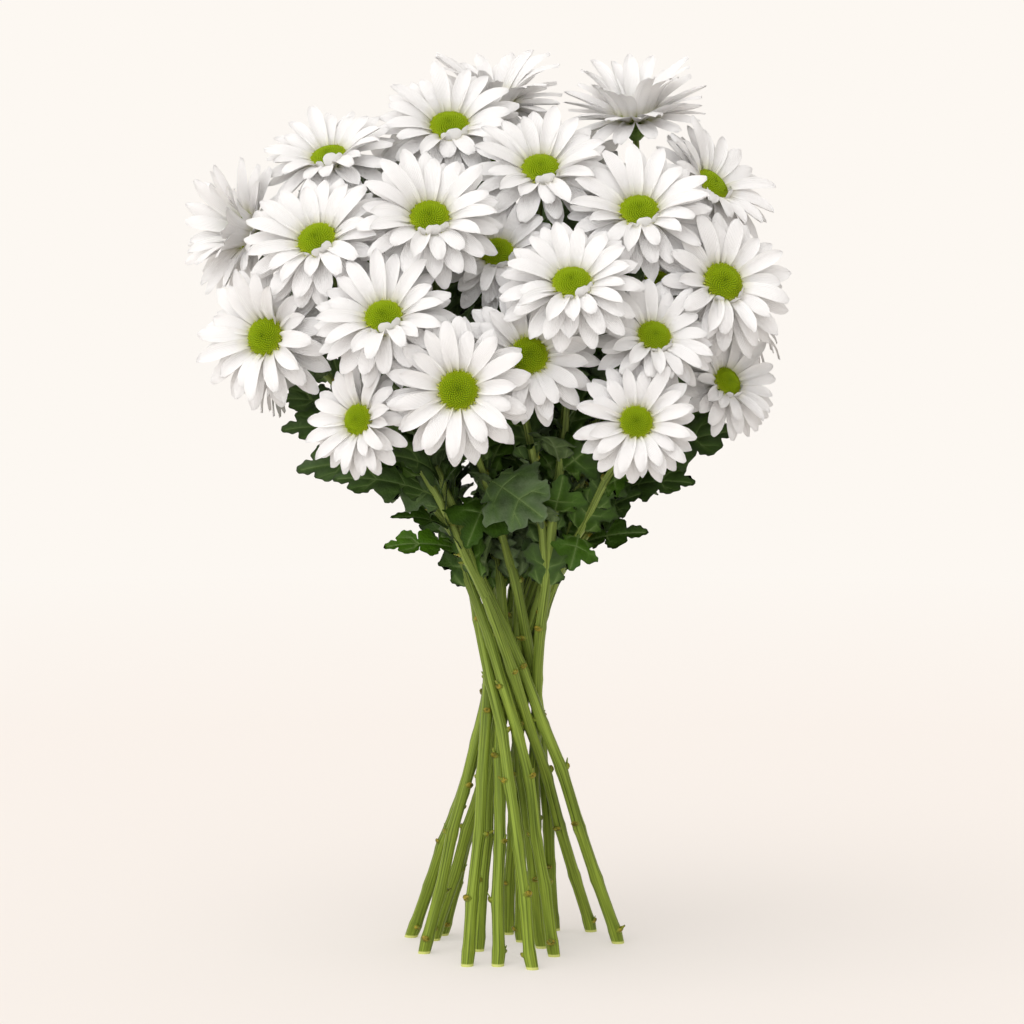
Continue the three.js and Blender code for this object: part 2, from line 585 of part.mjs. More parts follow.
const leafy = greens.map((solid) => [solid]);
for (const leaf of LEAVES) {
  const body = clearLeaf(leaf, shoots[leaf.on], space.filter((_, i) => i !== leaf.on));
  space.push(thing(body));
  leafy[leaf.on].push(body);
}
leafy.forEach((bodies, i) => {
  const name = "stem_" + String(i + 1).padStart(2, "0");
  bunch.add(meshOf(name, bodies.reduce((all, body) => all.add(body)), greenMaterial));
});

export default bunch;
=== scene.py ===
import math

import bpy
import numpy as np
from mathutils import Matrix, Vector, geometry
from mathutils.bvhtree import BVHTree


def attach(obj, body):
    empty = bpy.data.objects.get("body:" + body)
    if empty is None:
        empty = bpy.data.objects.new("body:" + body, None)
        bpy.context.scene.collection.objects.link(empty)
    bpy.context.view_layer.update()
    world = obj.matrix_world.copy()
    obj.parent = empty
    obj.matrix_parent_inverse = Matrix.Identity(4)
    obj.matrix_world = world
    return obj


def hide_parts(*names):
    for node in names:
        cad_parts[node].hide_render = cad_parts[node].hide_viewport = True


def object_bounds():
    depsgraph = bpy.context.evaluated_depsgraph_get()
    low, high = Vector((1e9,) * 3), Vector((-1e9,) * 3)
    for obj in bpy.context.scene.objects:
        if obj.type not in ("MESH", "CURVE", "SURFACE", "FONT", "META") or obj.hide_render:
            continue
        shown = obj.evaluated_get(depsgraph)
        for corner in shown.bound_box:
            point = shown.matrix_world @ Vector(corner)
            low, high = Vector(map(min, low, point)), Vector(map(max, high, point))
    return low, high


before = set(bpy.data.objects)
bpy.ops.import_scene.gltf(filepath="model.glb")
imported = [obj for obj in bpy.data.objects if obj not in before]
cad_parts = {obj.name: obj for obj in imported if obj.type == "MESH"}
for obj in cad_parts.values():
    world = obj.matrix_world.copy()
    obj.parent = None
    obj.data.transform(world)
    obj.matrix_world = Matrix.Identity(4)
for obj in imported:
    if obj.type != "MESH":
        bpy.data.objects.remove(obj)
cad_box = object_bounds()

MM = 0.001
AXIS = np.array([10.75, -1.0, 0.0])  # where the bundle's axis stands in the frame
TURN = 2 * math.pi

# ---- Camera -----------------------------------------------------------------------------------------
CAMERA = {"at": (0.01075, -1.601, 0.305), "to": (0.01075, -0.001, 0.2205), "lens": 112.6, "sensor": 36}
camera = bpy.data.objects.new("camera", bpy.data.cameras.new("camera"))
camera.data.lens, camera.data.sensor_width = CAMERA["lens"], CAMERA["sensor"]
camera.location = CAMERA["at"]
camera.rotation_euler = (Vector(CAMERA["to"]) - Vector(CAMERA["at"])).to_track_quat("-Z", "Y").to_euler()
bpy.context.scene.collection.objects.link(camera)
bpy.context.scene.camera = camera

# ---- Layout -----------------------------------------------------------------------------------------
# The same named values as the frame's source has, so that the routes come out the same
WAIST = {"z": 130, "radius": 15, "pull": 0.012}
STEM = {"foot": 3.1, "waist": 2.8, "neck": 1.8, "low": 3, "high": 8, "reach": 43, "span": 0.36, "late": 0.8}
BRANCH = {"root": 2.0, "neck": 1.7, "steps": 6, "leave": 0.34, "arrive": 0.3}
STEM_GAP = 0.3
RELAX = {"rounds": 260, "pulled": 246, "push": 0.4, "stiff": 0.12, "near": 18, "renew": 10}
FULL_BLOOM = 34  # the radius that the sizes of a head belong to
HEAD = {"root": 12, "bulk": 11, "low": -5, "high": 1}
HUB = {"outer": 10.5, "bottom": -3.7, "top": -0.3, "step": 0.7}
RAY = {"count": 7, "thick": 0.7, "tip": 7.4, "widest": 0.62, "curl": 14, "spread": 5}

# Blooms 1 to 32: centre of the disc's base, turn from -Y toward +X, rise, radius
BLOOMS = [
    (-31, -6, 412, -1, 44, 35), (-90, -20, 396, -18, 52, 32), (14, -38, 389, 1, 42, 34),
    (-39, -78, 364, 1, 34, 34), (-93, -66, 354, -17, 36, 34), (61, -58, 368, -1, 40, 34),
    (99, -6, 383, 46, 36, 33), (-7, -58, 348, 0, 32, 29), (28, -97, 333, -3, 41, 33),
    (101, -60, 334, 22, 23, 35), (-60, -98, 317, -8, 33, 32), (-118, -62, 308, -28, 11, 34),
    (8, -94, 299, 9, 16, 32), (67, -86, 308, 15, 32, 29), (-25, -112, 283, 1, 7, 33),
    (-72, -96, 269, -34, 10, 27), (58, -104, 268, 4, 18, 28), (104, -48, 286, 37, 25, 27),
    (62, 20, 419, -10, 74, 35), (-131, -14, 360, -54, 12, 33), (-9, 40, 427, 6, 69, 34),
    (72, -12, 334, 12, 34, 27), (-92, 50, 345, -119, 30, 33), (-62, 90, 300, -145, 15, 33),
    (-18, 103, 338, -170, 28, 33), (24, 108, 292, 168, 12, 32), (62, 86, 345, 144, 30, 33),
    (97, 56, 298, 120, 14, 32), (36, 64, 388, 150, 55, 33), (-58, 48, 388, -130, 50, 33),
    (-118, 22, 300, -101, 15, 31), (114, 10, 322, 95, 22, 32),
]
RING = {"stems": 11, "first": -168}  # stems round the waist, and where the first stands in degrees


def ring_place(k):
    a = math.radians(RING["first"] + 360 / RING["stems"] * k)
    return WAIST["radius"] * math.cos(a), WAIST["radius"] * math.sin(a)


# Each stem: foot, place at the waist (on the ring or inside it), top bloom, bloom on its branch, fork's step
STEMS = [
    ((-22, -44), ring_place(0), 25, 26, 2), ((10, -52), ring_place(1), 23, 24, 2),
    ((21, -19), ring_place(2), 20, 31, 2), ((41, 49), ring_place(3), 11, 16, 2),
    ((54, 16), ring_place(4), 5, 12, 2), ((12, 41), ring_place(5), 9, 13, 2),
    ((22, 52), ring_place(6), 4, 15, 2), ((-2, 41), ring_place(7), 14, 17, 2),
    ((-36, 38), ring_place(8), 10, 18, 2), ((-52, 33), ring_place(9), 7, 32, 2),
    ((-44, -11), ring_place(10), 27, 28, 2), ((-7, -44), (-6, -4.5), 21, 30, 3),
    ((-17, -5), (-6.5, 3), 19, 29, 3), ((15, 3), (1, -4.5), 1, 2, 3),
    ((5, 20), (4.5, 3.5), 3, 8, 3), ((-40, 24), (-1.5, 7), 6, 22, 2),
]
# Each leaf: stem, 1 if on its branch, step up the route, tip, width, face or None, tone, with the dark tone
# 0.3 as painted shade for leaves that lie in shade (0 is darkest)
LEAVES = [
    (4, 1, 3.4, (-115, -42, 278), 20, (-10, 30), 0.14), (4, 1, 2.8, (-112, -44, 263), 28, (-10, 35), 0.16),
    (4, 1, 2.2, (-105, -40, 243), 28, (-20, 25), 0.12), (3, 1, 2.8, (-86, -62, 240), 28, (-10, 40), 0.2),
    (4, 0, 2.6, (-60, -26, 219), 14, (0, 60), 0.45), (4, 0, 2.3, (-63, -30, 205), 17, (0, 40), 0.85),
    (3, 0, 3.7, (-57, -56, 242), 28, (-15, 25), 0.0), (6, 1, 1.9, (-23, -52, 202), 34, (0, 15), 0.5),
    (6, 1, 2.4, (16, -60, 220), 42, (0, 15), 0.02), (5, 0, 3.3, (25, -48, 241), 30, (5, 15), 0.62),
    (5, 0, 4.1, (43, -52, 258), 28, (10, 15), 0.3), (7, 1, 1.8, (28, -42, 194), 26, (10, 15), 0.68),
    (7, 1, 3.2, (61, -60, 242), 24, (0, 35), 0.6), (8, 1, 3.2, (110, -34, 262), 34, (15, 35), 0.18),
    (8, 1, 2.3, (90, -30, 236), 28, (10, 40), 0.22), (8, 1, 1.3, (75, -24, 226), 28, (15, 30), 0.2),
    (8, 1, 0.8, (68, -16, 211), 18, (15, 30), 0.3), (3, 0, 4.2, (-58, -82, 252), 26, (0, 30), 0.15),
    (6, 0, 5, (-12, -66, 312), 24, None, 0.3), (9, 0, 4, (70, -12, 282), 28, None, 0.3),
    (2, 0, 4, (-84, -8, 290), 28, None, 0.3), (2, 1, 2.4, (-92, 14, 240), 30, None, 0.3),
    (1, 1, 2.4, (-62, 56, 222), 30, None, 0.3), (0, 1, 2.2, (-8, 72, 214), 32, None, 0.3),
    (10, 1, 1.8, (52, 58, 220), 32, None, 0.3), (10, 0, 4, (36, 68, 262), 28, None, 0.3),
    (9, 1, 1.6, (74, 24, 228), 30, None, 0.3), (12, 1, 2, (10, 58, 300), 26, None, 0.3),
]


# ---- Small helpers ----------------------------------------------------------------------------------
def unit(v):
    return v / np.linalg.norm(v)


def facing(turn, rise):
    t, r = math.radians(turn), math.radians(rise)
    return np.array([math.sin(t) * math.cos(r), -math.cos(t) * math.cos(r), math.sin(r)])


def between(a, b, angle):
    """The way that lies at an angle from a toward b."""
    return a * math.cos(angle) + b * math.sin(angle)


def turned(v, axis, degrees):
    """v turned about a unit axis."""
    a = math.radians(degrees)
    return v * math.cos(a) + np.cross(axis, v) * math.sin(a) + axis * (axis @ v) * (1 - math.cos(a))


def draws(seed):
    """Repeatable draws between -1 and 1."""
    state = [seed]

    def draw():
        state[0] = (state[0] * 1664525 + 1013904223) % 4294967296
        return state[0] / 4294967296 * 2 - 1

    return draw


def linear(code):
    """An sRGB hex colour as linear RGBA."""
    parts = [int(code[i : i + 2], 16) / 255 for i in (0, 2, 4)]
    return [c / 12.92 if c <= 0.04045 else ((c + 0.055) / 1.055) ** 2.4 for c in parts] + [1.0]


def add(tree, kind, *values, inputs=None, stops=(), out=None, **settings):
    """Adds a node with its settings, colour stops and inputs, in order or by name, and returns one output.
    A kind in capitals is what a Math node does, a kind without its family's name is a shader node, and a code
    given to a colour input is an sRGB colour."""
    if kind.isupper():
        kind, settings["operation"] = "Math", kind
    family = "" if kind.startswith(("Geometry", "Function", "NodeGroup")) else "ShaderNode"
    node = tree.nodes.new(family + kind)
    for key, value in settings.items():
        setattr(node, key, value)
    for k, (at, code) in enumerate(stops):
        line = node.color_ramp.elements
        stop = line[k] if k < 2 else line.new(at)
        stop.position, stop.color = at, linear(code)
    given = list(zip([s for s in node.inputs if s.enabled], values))
    given += [(node.inputs[key], value) for key, value in (inputs or {}).items()]
    for socket, value in given:
        if isinstance(value, bpy.types.NodeSocket):
            tree.links.new(value, socket)
        elif value is not None:
            socket.default_value = linear(value) if socket.type == "RGBA" else value
    return next((s for s in node.outputs if s.enabled and out in (None, s.name)), None)


# ---- Stem routes ------------------------------------------------------------------------------------
def head_of(number):
    x, y, z, turn, rise, r = BLOOMS[number - 1]
    base, axis = np.array([x, y, z], float), facing(turn, rise)
    return {"number": number, "base": base, "axis": axis, "scale": r / FULL_BLOOM, "r": r}


def bezier(a, b, c, d, steps):
    t = np.linspace(0, 1, steps + 1)[:, None]
    return a * (1 - t) ** 3 + 3 * b * (1 - t) ** 2 * t + 3 * c * (1 - t) * t**2 + d * t**3


def stem_route(foot, waist, top):
    head = head_of(top)
    start, mid = np.array([*foot, 0.0]), np.array([*waist, float(WAIST["z"])])
    end = head["base"] - head["axis"] * HEAD["root"]
    lower, upper = unit(mid - start), unit(end - mid)
    through = unit(lower + upper)
    span, reach = np.linalg.norm(end - mid) * STEM["span"], STEM["reach"]
    low = bezier(start, start + lower * reach, mid - through * reach, mid, STEM["low"])
    high = bezier(mid, mid + through * span, end - head["axis"] * span * STEM["late"], end, STEM["high"])
    radii = [np.linspace(STEM["foot"], STEM["waist"], STEM["low"] + 1)[:-1]]
    radii += [np.linspace(STEM["waist"], STEM["neck"], STEM["high"] + 1)]
    return {"points": np.vstack([low, high[1:]]), "radii": np.concatenate(radii), "head": head}


def branch_route(stem, fork, number):
    head = head_of(number)
    start = stem["points"][fork].copy()
    ahead = unit(stem["points"][fork + 1] - start)
    end = head["base"] - head["axis"] * HEAD["root"]
    reach = np.linalg.norm(end - start)
    leave = start + unit(unit(end - start) + ahead) * reach * BRANCH["leave"]
    arrive = end - head["axis"] * reach * BRANCH["arrive"]
    radii = np.linspace(BRANCH["root"], BRANCH["neck"], BRANCH["steps"] + 1)
    return {"points": bezier(start, leave, arrive, end, BRANCH["steps"]), "radii": radii, "head": head}


def lay_routes():
    """All stems and branches, pushed apart until their round outlines are clear of each other."""
    routes = []
    for foot, waist, top, side, fork in STEMS:
        stem = stem_route(foot, waist, top)
        routes += [stem, branch_route(stem, STEM["low"] + fork, side)]
    every = list(routes)
    for r in routes:
        head = r["head"]
        ends = [head["base"] + head["axis"] * k for k in (HEAD["low"], HEAD["high"])]
        every.append({"points": np.array(ends), "radii": np.full(2, HEAD["bulk"] * head["scale"])})
    first = np.cumsum([0] + [len(r["points"]) for r in every])
    P = np.vstack([r["points"] for r in every])
    seg, need, owner = [], [], []
    for k, r in enumerate(every):
        for i in range(len(r["points"]) - 1):
            seg.append(first[k] + i)
            need.append(max(r["radii"][i], r["radii"][i + 1]))
            owner.append(k % len(routes) // 2)
    seg, need, owner = np.array(seg), np.array(need), np.array(owner)
    ia, ib = np.triu_indices(len(seg), 1)
    keep = owner[ia] != owner[ib]
    ia, ib = ia[keep], ib[keep]
    free = np.concatenate([first[k] + np.arange(1, len(r["points"]) - 2) for k, r in enumerate(routes)])
    waists = first[: len(routes) : 2] + STEM["low"]
    forks = waists + [fork for *_, fork in STEMS]
    rest = (P[free - 1] + P[free + 1]) / 2 - P[free]
    for turn in range(RELAX["rounds"]):
        if turn % RELAX["renew"] == 0:
            gap = pair_gaps(P, seg[ia], seg[ib])[1]
            near = gap < need[ia] + need[ib] + RELAX["near"]
            ja, jb = ia[near], ib[near]
        away, gap, s, t = pair_gaps(P, seg[ja], seg[jb])
        want = need[ja] + need[jb] + STEM_GAP
        hit = (gap < want) & (gap >= 1e-6)
        push = away[hit] * ((want[hit] - gap[hit]) * RELAX["push"] / gap[hit])[:, None]
        s, t, pa, pb = s[hit, None], t[hit, None], seg[ja][hit], seg[jb][hit]
        moves = np.zeros_like(P)
        for at, share in ((pa, 1 - s), (pa + 1, s), (pb, t - 1), (pb + 1, -t)):
            np.add.at(moves, at, push * share)
        moves[free] += ((P[free - 1] + P[free + 1]) / 2 - P[free] - rest) * RELAX["stiff"]
        if turn < RELAX["pulled"]:
            moves[waists, :2] -= P[waists, :2] * WAIST["pull"]
        P[free] += moves[free]
        P[first[1 : len(routes) : 2]] = P[forks]
    for k, r in enumerate(routes):
        r["points"] = P[first[k] : first[k + 1]].copy()
    return list(zip(routes[::2], routes[1::2]))


def pair_gaps(P, i, j):
    """For segments from points i and j: the vector between nearest points, its length and their shares."""
    p, u = P[i], P[j]
    d1, d2, r = P[i + 1] - p, P[j + 1] - u, p - u
    pairs = ((d1, d1), (d2, d2), (d2, r), (d1, r), (d1, d2))
    a, e, f, c, b = (np.einsum("ij,ij->i", x, y) for x, y in pairs)
    flat = a * e - b * b
    s = np.where(flat > 1e-9, np.clip((b * f - c * e) / np.where(flat > 1e-9, flat, 1), 0, 1), 0.5)
    t = (b * s + f) / e
    s = np.where(t < 0, np.clip(-c / a, 0, 1), np.where(t > 1, np.clip((b - c) / a, 0, 1), s))
    t = np.clip(t, 0, 1)
    away = p + d1 * s[:, None] - u - d2 * t[:, None]
    return away, np.linalg.norm(away, axis=1), s, t


def smooth_route(points, step):
    """A smooth line through route points, each sample's distance along it and its place among the points."""
    knots = np.concatenate([[0], np.cumsum(np.linalg.norm(np.diff(points, axis=0), axis=1))])
    slopes = np.zeros_like(points)
    slopes[1:-1] = (points[2:] - points[:-2]) / (knots[2:] - knots[:-2])[:, None]
    slopes[0] = 2 * (points[1] - points[0]) / (knots[1] - knots[0]) - slopes[1]
    slopes[-1] = 2 * (points[-1] - points[-2]) / (knots[-1] - knots[-2]) - slopes[-2]
    at = np.linspace(0, knots[-1], max(2, round(knots[-1] / step)) + 1)
    k = np.clip(np.searchsorted(knots, at, side="right") - 1, 0, len(points) - 2)
    h = (knots[k + 1] - knots[k])[:, None]
    t = (at - knots[k])[:, None] / h
    line = points[k] * (2 * t**3 - 3 * t**2 + 1) + slopes[k] * h * (t**3 - 2 * t**2 + t)
    line = line + points[k + 1] * (3 * t**2 - 2 * t**3) + slopes[k + 1] * h * (t**3 - t**2)
    return line, at, k + t[:, 0]


# ---- What the frame's solids say --------------------------------------------------------------------
def node_mesh(name):
    """A CAD node's vertices in millimetres about the bundle's axis, and its faces."""
    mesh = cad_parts[name].data
    points = np.array([v.co for v in mesh.vertices], float) / MM - AXIS
    return points, [tuple(p.vertices) for p in mesh.polygons]


def bloom_frame(head, spin):
    """Rows: the bloom's own x, y and z directions."""
    right = unit(np.cross([0, 0, 1], head["axis"]))
    x = between(right, np.cross(head["axis"], right), spin)
    return np.array([x, np.cross(head["axis"], x), head["axis"]])


# Ways in which a layer of solid rays may be bent clear: lift at rest, and what is tried about it
LAYERS = [(-3, [0, -8, 7, -16, -24, -33], 0), (25, [0, 8, -8, 16, 25, 36], 0.5)]
LENGTHS, SWINGS = [1, 0.82, 0.64, 0.46], [0, 9, -9]


def ray_tip(angle, lift, length, head, start_z):
    """Outer end of a solid ray, in the bloom's frame."""
    start = HUB["outer"] * head["scale"]
    rise1, rise2 = math.radians(lift + RAY["curl"] / 2), math.radians(lift - RAY["curl"] / 2)
    reach = (head["r"] - start) * length
    first = reach * RAY["widest"]
    r = start + first * math.cos(rise1) + (reach - first) * math.cos(rise2)
    z = start_z + first * math.sin(rise1) + (reach - first) * math.sin(rise2)
    out, across = (np.array([math.cos(a), math.sin(a), 0]) for a in (angle, angle + math.pi / 2))
    up = between(np.array([0, 0, 1]), -out, rise2)
    narrow = head["scale"] * (0.5 + 0.5 * length)
    return out * r + [0, 0, z] + across * RAY["tip"] * narrow / 2 + up * RAY["thick"] / 2


def rays_of(head):
    """A bloom's own axes, and for each layer its solid rays as (angle, lift), read from its CAD node."""
    draw = draws(head["number"])
    axes = bloom_frame(head, draw() * math.pi)
    there = (node_mesh(f"bloom_{head['number']:02d}")[0] - head["base"]) @ axes.T
    found = []
    for (lift, tries, shift), edge in zip(LAYERS, (HUB["bottom"], HUB["top"])):
        inner = (HUB["bottom"] + HUB["top"]) / 2 + (HUB["step"] / 2 if shift else -HUB["step"] / 2)
        row = []
        for i in range(RAY["count"]):
            angle, rest = TURN / RAY["count"] * (i + shift), lift + RAY["spread"] * draw()
            ways = [(angle + math.radians(w), rest + o, k) for k in LENGTHS for w in SWINGS for o in tries]
            miss = [np.abs(there - ray_tip(*way, head, (edge + inner) / 2)).max(1).min() for way in ways]
            row.append(ways[int(np.argmin(miss))][:2])
        found.append(row)
    return axes, found


shoots = lay_routes()
heads = [{**route["head"], "stem": n} for n, pair in enumerate(shoots) for route in pair]


# ---- Finishes ---------------------------------------------------------------------------------------
# Size of one spot or grain of each pattern in millimetres, and from it the scale of its noise
SPOTS = {"bud": 1.111, "bract": 4.55, "down": 0.714, "stem": 10.53, "cork": 1.667, "leaf": 7.69, "pore": 1.11}
SPOT = {name: 1 / (size * MM) for name, size in SPOTS.items()}
VEINS, STREAKS = 3.4, 4.0  # scale of the veins across a petal's blade, and of the streaks round a stem
STREAK_STEP = 200 * MM  # length of stem along which its streaks change once
GREYEST, RIM_FADE = 300 * MM, 2 * MM  # height where stems are greyest, and the span that the cut rim fades in


def blank(name):
    """A material and its node tree, with nothing in it yet."""
    made = bpy.data.materials.new(name)
    made.use_nodes = True
    made.node_tree.nodes.clear()
    return made, made.node_tree


def finish(name, look, *tones_and_shade, roughness, specular, depth, through=0.0):
    """A material whose look gives colour and height; `through` is the share of light let through."""
    made, tree = blank(name)
    colour, height = look(tree, *tones_and_shade)
    normal = add(tree, "Bump", inputs={"Height": height, "Distance": depth})
    inputs = {"Base Color": colour, "Roughness": roughness, "Specular IOR Level": specular, "Normal": normal}
    surface = add(tree, "BsdfPrincipled", inputs=inputs)
    if through:
        surface = add(tree, "MixShader", through, surface, add(tree, "BsdfTranslucent", colour))
    add(tree, "OutputMaterial", surface)
    return made


def petal_look(tree):
    """Ray petal: matt white, eleven veins across about 0.8 mm apart, a pale green-yellow claw by the disc."""
    blade = add(tree, "UVMap", uv_map="blade")
    veins = add(tree, "TexWave", blade, VEINS, 0.7, 1.0, out="Fac")
    shade = add(tree, "MULTIPLY", veins, 0.45)
    white = add(tree, "Mix", shade, "FAF9F8", "F1EFEE", data_type="RGBA")
    claw = [(0, "DCE2A0"), (0.05, "E6E8C4"), (0.14, "F8F7EE"), (0.3, "FFFFFF")]
    claw = add(tree, "ValToRGB", add(tree, "SeparateXYZ", blade, out="Y"), stops=claw)
    return add(tree, "Mix", 1.0, white, claw, data_type="RGBA", blend_type="MULTIPLY"), veins


def disc_look(tree):
    """Packed florets: waxy lime green, deeper in the dimple, darkened with painted shade at the florets'
    feet, in open florets' cups and on the body between them, and pale yellow spikes round the rim.
    """
    reach, pit = (add(tree, "Attribute", attribute_name=name, out="Fac") for name in ("reach", "pit"))
    lime = [(0, "5F7C00"), (0.14, "7B9602"), (0.7, "87A104"), (0.9, "9DAE10")]
    rim = [(0.94, "D9DA78"), (1, "E4E3A4")]
    lime = add(tree, "ValToRGB", reach, stops=lime + rim)
    speck = add(tree, "TexNoise", add(tree, "TexCoord", out="Object"), SPOT["bud"], 1.0)
    speck = add(tree, "MULTIPLY", speck, 0.3)
    colour = add(tree, "Mix", speck, lime, "B4C22C", data_type="RGBA")
    # painted shade: mixed toward deep green where the florets' feet, their cups and the body lie low
    return add(tree, "Mix", pit, colour, "4C6600", data_type="RGBA"), speck


def bract_look(tree):
    """Bracts of the cup: matt green, mottled."""
    place = add(tree, "TexCoord", out="Object")
    mottle, down = (add(tree, "TexNoise", place, SPOT[name]) for name in ("bract", "down"))
    return add(tree, "Mix", mottle, "4E7024", "7C9A44", data_type="RGBA"), down


def stem_look(tree):
    """Green stem skin: lengthwise streaks, yellow-brown corky scars, greyer up the bundle, pale cut rim."""
    girth = add(tree, "Attribute", attribute_name="girth", out="Vector")
    along, scar = (add(tree, "Attribute", attribute_name=name, out="Fac") for name in ("along", "scar"))
    place = add(tree, "TexCoord", out="Object")
    height = add(tree, "SeparateXYZ", place, out="Z")
    run = add(tree, "CombineXYZ", 0.0, 0.0, add(tree, "DIVIDE", along, STREAK_STEP))
    lines = add(tree, "TexNoise", add(tree, "VectorMath", girth, run, operation="ADD"), STREAKS, 3.0)
    level = add(tree, "DIVIDE", height, GREYEST)
    dark = add(tree, "ValToRGB", level, stops=[(0, "33440A"), (0.5, "38480C"), (1, "384416")])
    pale = add(tree, "ValToRGB", level, stops=[(0, "8C9F34"), (0.5, "90A444"), (1, "93A65E")])
    share = add(tree, "ValToRGB", lines, stops=[(0.26, "000000"), (0.66, "FFFFFF")])
    colour = add(tree, "Mix", share, dark, pale, data_type="RGBA")
    spot = add(tree, "TexNoise", place, SPOT["stem"], 3.0)
    spot = add(tree, "ValToRGB", spot, stops=[(0.55, "000000"), (0.8, "666666")])
    colour = add(tree, "Mix", spot, colour, "A0A63A", data_type="RGBA")
    cork = add(tree, "TexNoise", place, SPOT["cork"])
    cork = add(tree, "ValToRGB", cork, stops=[(0.4, "54500F"), (0.6, "9C8A30")])
    colour = add(tree, "Mix", scar, colour, cork, data_type="RGBA")
    # the cut rim shows as a bright line 1 mm high that is gone at 1.5 mm
    rim = add(tree, "DIVIDE", height, RIM_FADE)
    rim = add(tree, "ValToRGB", rim, stops=[(0.5, "E0E0E0"), (0.75, "000000")])
    return add(tree, "Mix", rim, colour, "D6DA80", data_type="RGBA"), lines


def leaf_look(tree, tones_and_shade, halo, vein):
    """Leaf skin for one side: a tone for each leaf, which for leaves deep in the bunch is painted shade,
    mottling, a halo along the veins and thin paler veins.
    """
    tone, line = (add(tree, "Attribute", attribute_name=name, out="Fac") for name in ("tone", "vein"))
    place = add(tree, "TexCoord", out="Object")
    green = add(tree, "ValToRGB", tone, stops=list(zip((0.0, 0.3, 0.65, 1.0), tones_and_shade)))
    mottle = add(tree, "TexNoise", place, SPOT["leaf"], 3.0)
    mottle = add(tree, "ValToRGB", mottle, stops=[(0.3, "B4B4B4"), (0.7, "FFFFFF")])
    green = add(tree, "Mix", 1.0, green, mottle, data_type="RGBA", blend_type="MULTIPLY")
    beside = add(tree, "MULTIPLY", line, 0.55)
    green = add(tree, "Mix", beside, green, halo, data_type="RGBA")
    line = add(tree, "POWER", line, 9.0)
    share = add(tree, "MULTIPLY", line, 0.42)
    pores = add(tree, "TexNoise", place, SPOT["pore"], 2.0)
    height = add(tree, "SUBTRACT", pores, line)
    return add(tree, "Mix", share, green, vein, data_type="RGBA"), height


# Fresh ray petal: thin, so a good part of the light comes through it
PETAL_SKIN = finish(
    "fresh_white_ray_petal", petal_look, roughness=0.6, specular=0.2, depth=0.1 * MM, through=0.22
)
# Waxy florets: a low sheen on each bud
DISC_SKIN = finish("waxy_disc_floret", disc_look, roughness=0.5, specular=0.1, depth=0.05 * MM)
# Soft downy bracts: no sheen
BRACT_SKIN = finish("matt_green_bract", bract_look, roughness=0.6, specular=0.3, depth=0.1 * MM)
# Stem skin with a slight wax: a soft light along the ribs
STEM_SKIN = finish("streaked_green_stem_skin", stem_look, roughness=0.42, specular=0.15, depth=0.3 * MM)
# Upper leaf faces are smooth and deep green, under sides dull and greyer; the dark tone at 0.3, which leaves
# deep in the bunch take, is painted shade
TOP_TONES_AND_SHADE, BACK_TONES_AND_SHADE = ("6C7E5C", "2C4014", "40601A", "5A8A10"), ("76886A", "45543A", "5C7442", "7A9A3C")
TOP, BACK = (TOP_TONES_AND_SHADE, "466E12", "9DB274"), (BACK_TONES_AND_SHADE, "6A8448", "A0B088")
BLADE = {"depth": 0.3 * MM, "through": 0.1}
LEAF_TOP = finish("smooth_leaf_face", leaf_look, *TOP, roughness=0.5, specular=0.2, **BLADE)
LEAF_BACK = finish("dull_leaf_underside", leaf_look, *BACK, roughness=0.65, specular=0.15, **BLADE)


# ---- Closed blades ----------------------------------------------------------------------------------
def grid_faces(across, along):
    """Quads of a grid with so many spaces across and along."""
    corners = np.array([0, 1, across + 2, across + 1])
    return [tuple((corners + j * (across + 1) + i).tolist()) for j in range(along) for i in range(across)]


def closed_sheet(top, faces, drop):
    """Gives an open sheet an under side that shares its rim; drop is the step down at each point."""
    sides = [(min(e), max(e)) for f in faces for e in zip(f, f[1:] + f[:1])]
    once, twice = set(), set()
    for side in sides:
        (twice if side in once else once).add(side)
    edges = once - twice
    rim = {i for e in edges for i in e}
    inner = [i for i in range(len(top)) if i not in rim]
    under = {i: len(top) + k for k, i in enumerate(inner)}
    points = np.vstack([top, (top - drop)[inner]])
    return points, faces + [tuple(under.get(i, i) for i in f[::-1]) for f in faces], edges, inner


def petal_shape(grid, first, last, cup, tip, sway=0.0, widest=0.58, claw=0.5):
    """A petal's top, one unit long along +Y and one wide, rising at `first` degrees and ending at `last`,
    with its normals and its place on the blade. Its edges lift by `cup`, and `tip` and `claw` are the widths
    of its ends; it is widest at the share `widest` of its length."""
    s = 1 - (1 - np.linspace(0, 1, grid[1] + 1)) ** 1.2
    slope = np.radians(first + (last - first) * s)
    middle = (slope[1:] + slope[:-1]) / 2
    y, z = (np.concatenate([[0], np.cumsum(np.diff(s) * part(middle))]) for part in (np.cos, np.sin))
    chord = math.atan2(z[-1], y[-1])
    y, z = between(y, z, chord), between(z, -y, chord)
    half = claw + (1 - claw) * np.sin(np.pi / 2 * np.clip(s / widest, 0, 1))
    past = np.clip((s - widest) / (1 - widest), 0, 1)
    half = np.where(s > widest, 1 - past**2.7 * (1 - tip), half) / 2
    u = np.linspace(-1, 1, grid[0] + 1)
    X = half[:, None] * u + sway * s[:, None] ** 2
    end = np.clip((s - 0.8) / 0.2, 0, 1)[:, None]
    Y = (y / y[-1])[:, None] - end * 0.03 * u**2
    body = np.sin(np.pi * np.clip(s * 1.02, 0, 1))[:, None]
    channel = (0.1 * (1 - s) ** 2 + cup * s * (1.6 - s))[:, None] * u**2
    Z = z[:, None] + channel + 0.009 * body * np.cos(TURN * u)
    top = np.stack([X, Y, Z], -1)
    n = np.cross(np.gradient(top, axis=1), np.gradient(top, axis=0))
    n /= np.linalg.norm(n, axis=2)[:, :, None]
    uv = np.stack(np.meshgrid(u / 2 + 0.5, s), -1).reshape(-1, 2)
    return top.reshape(-1, 3), n.reshape(-1, 3), uv


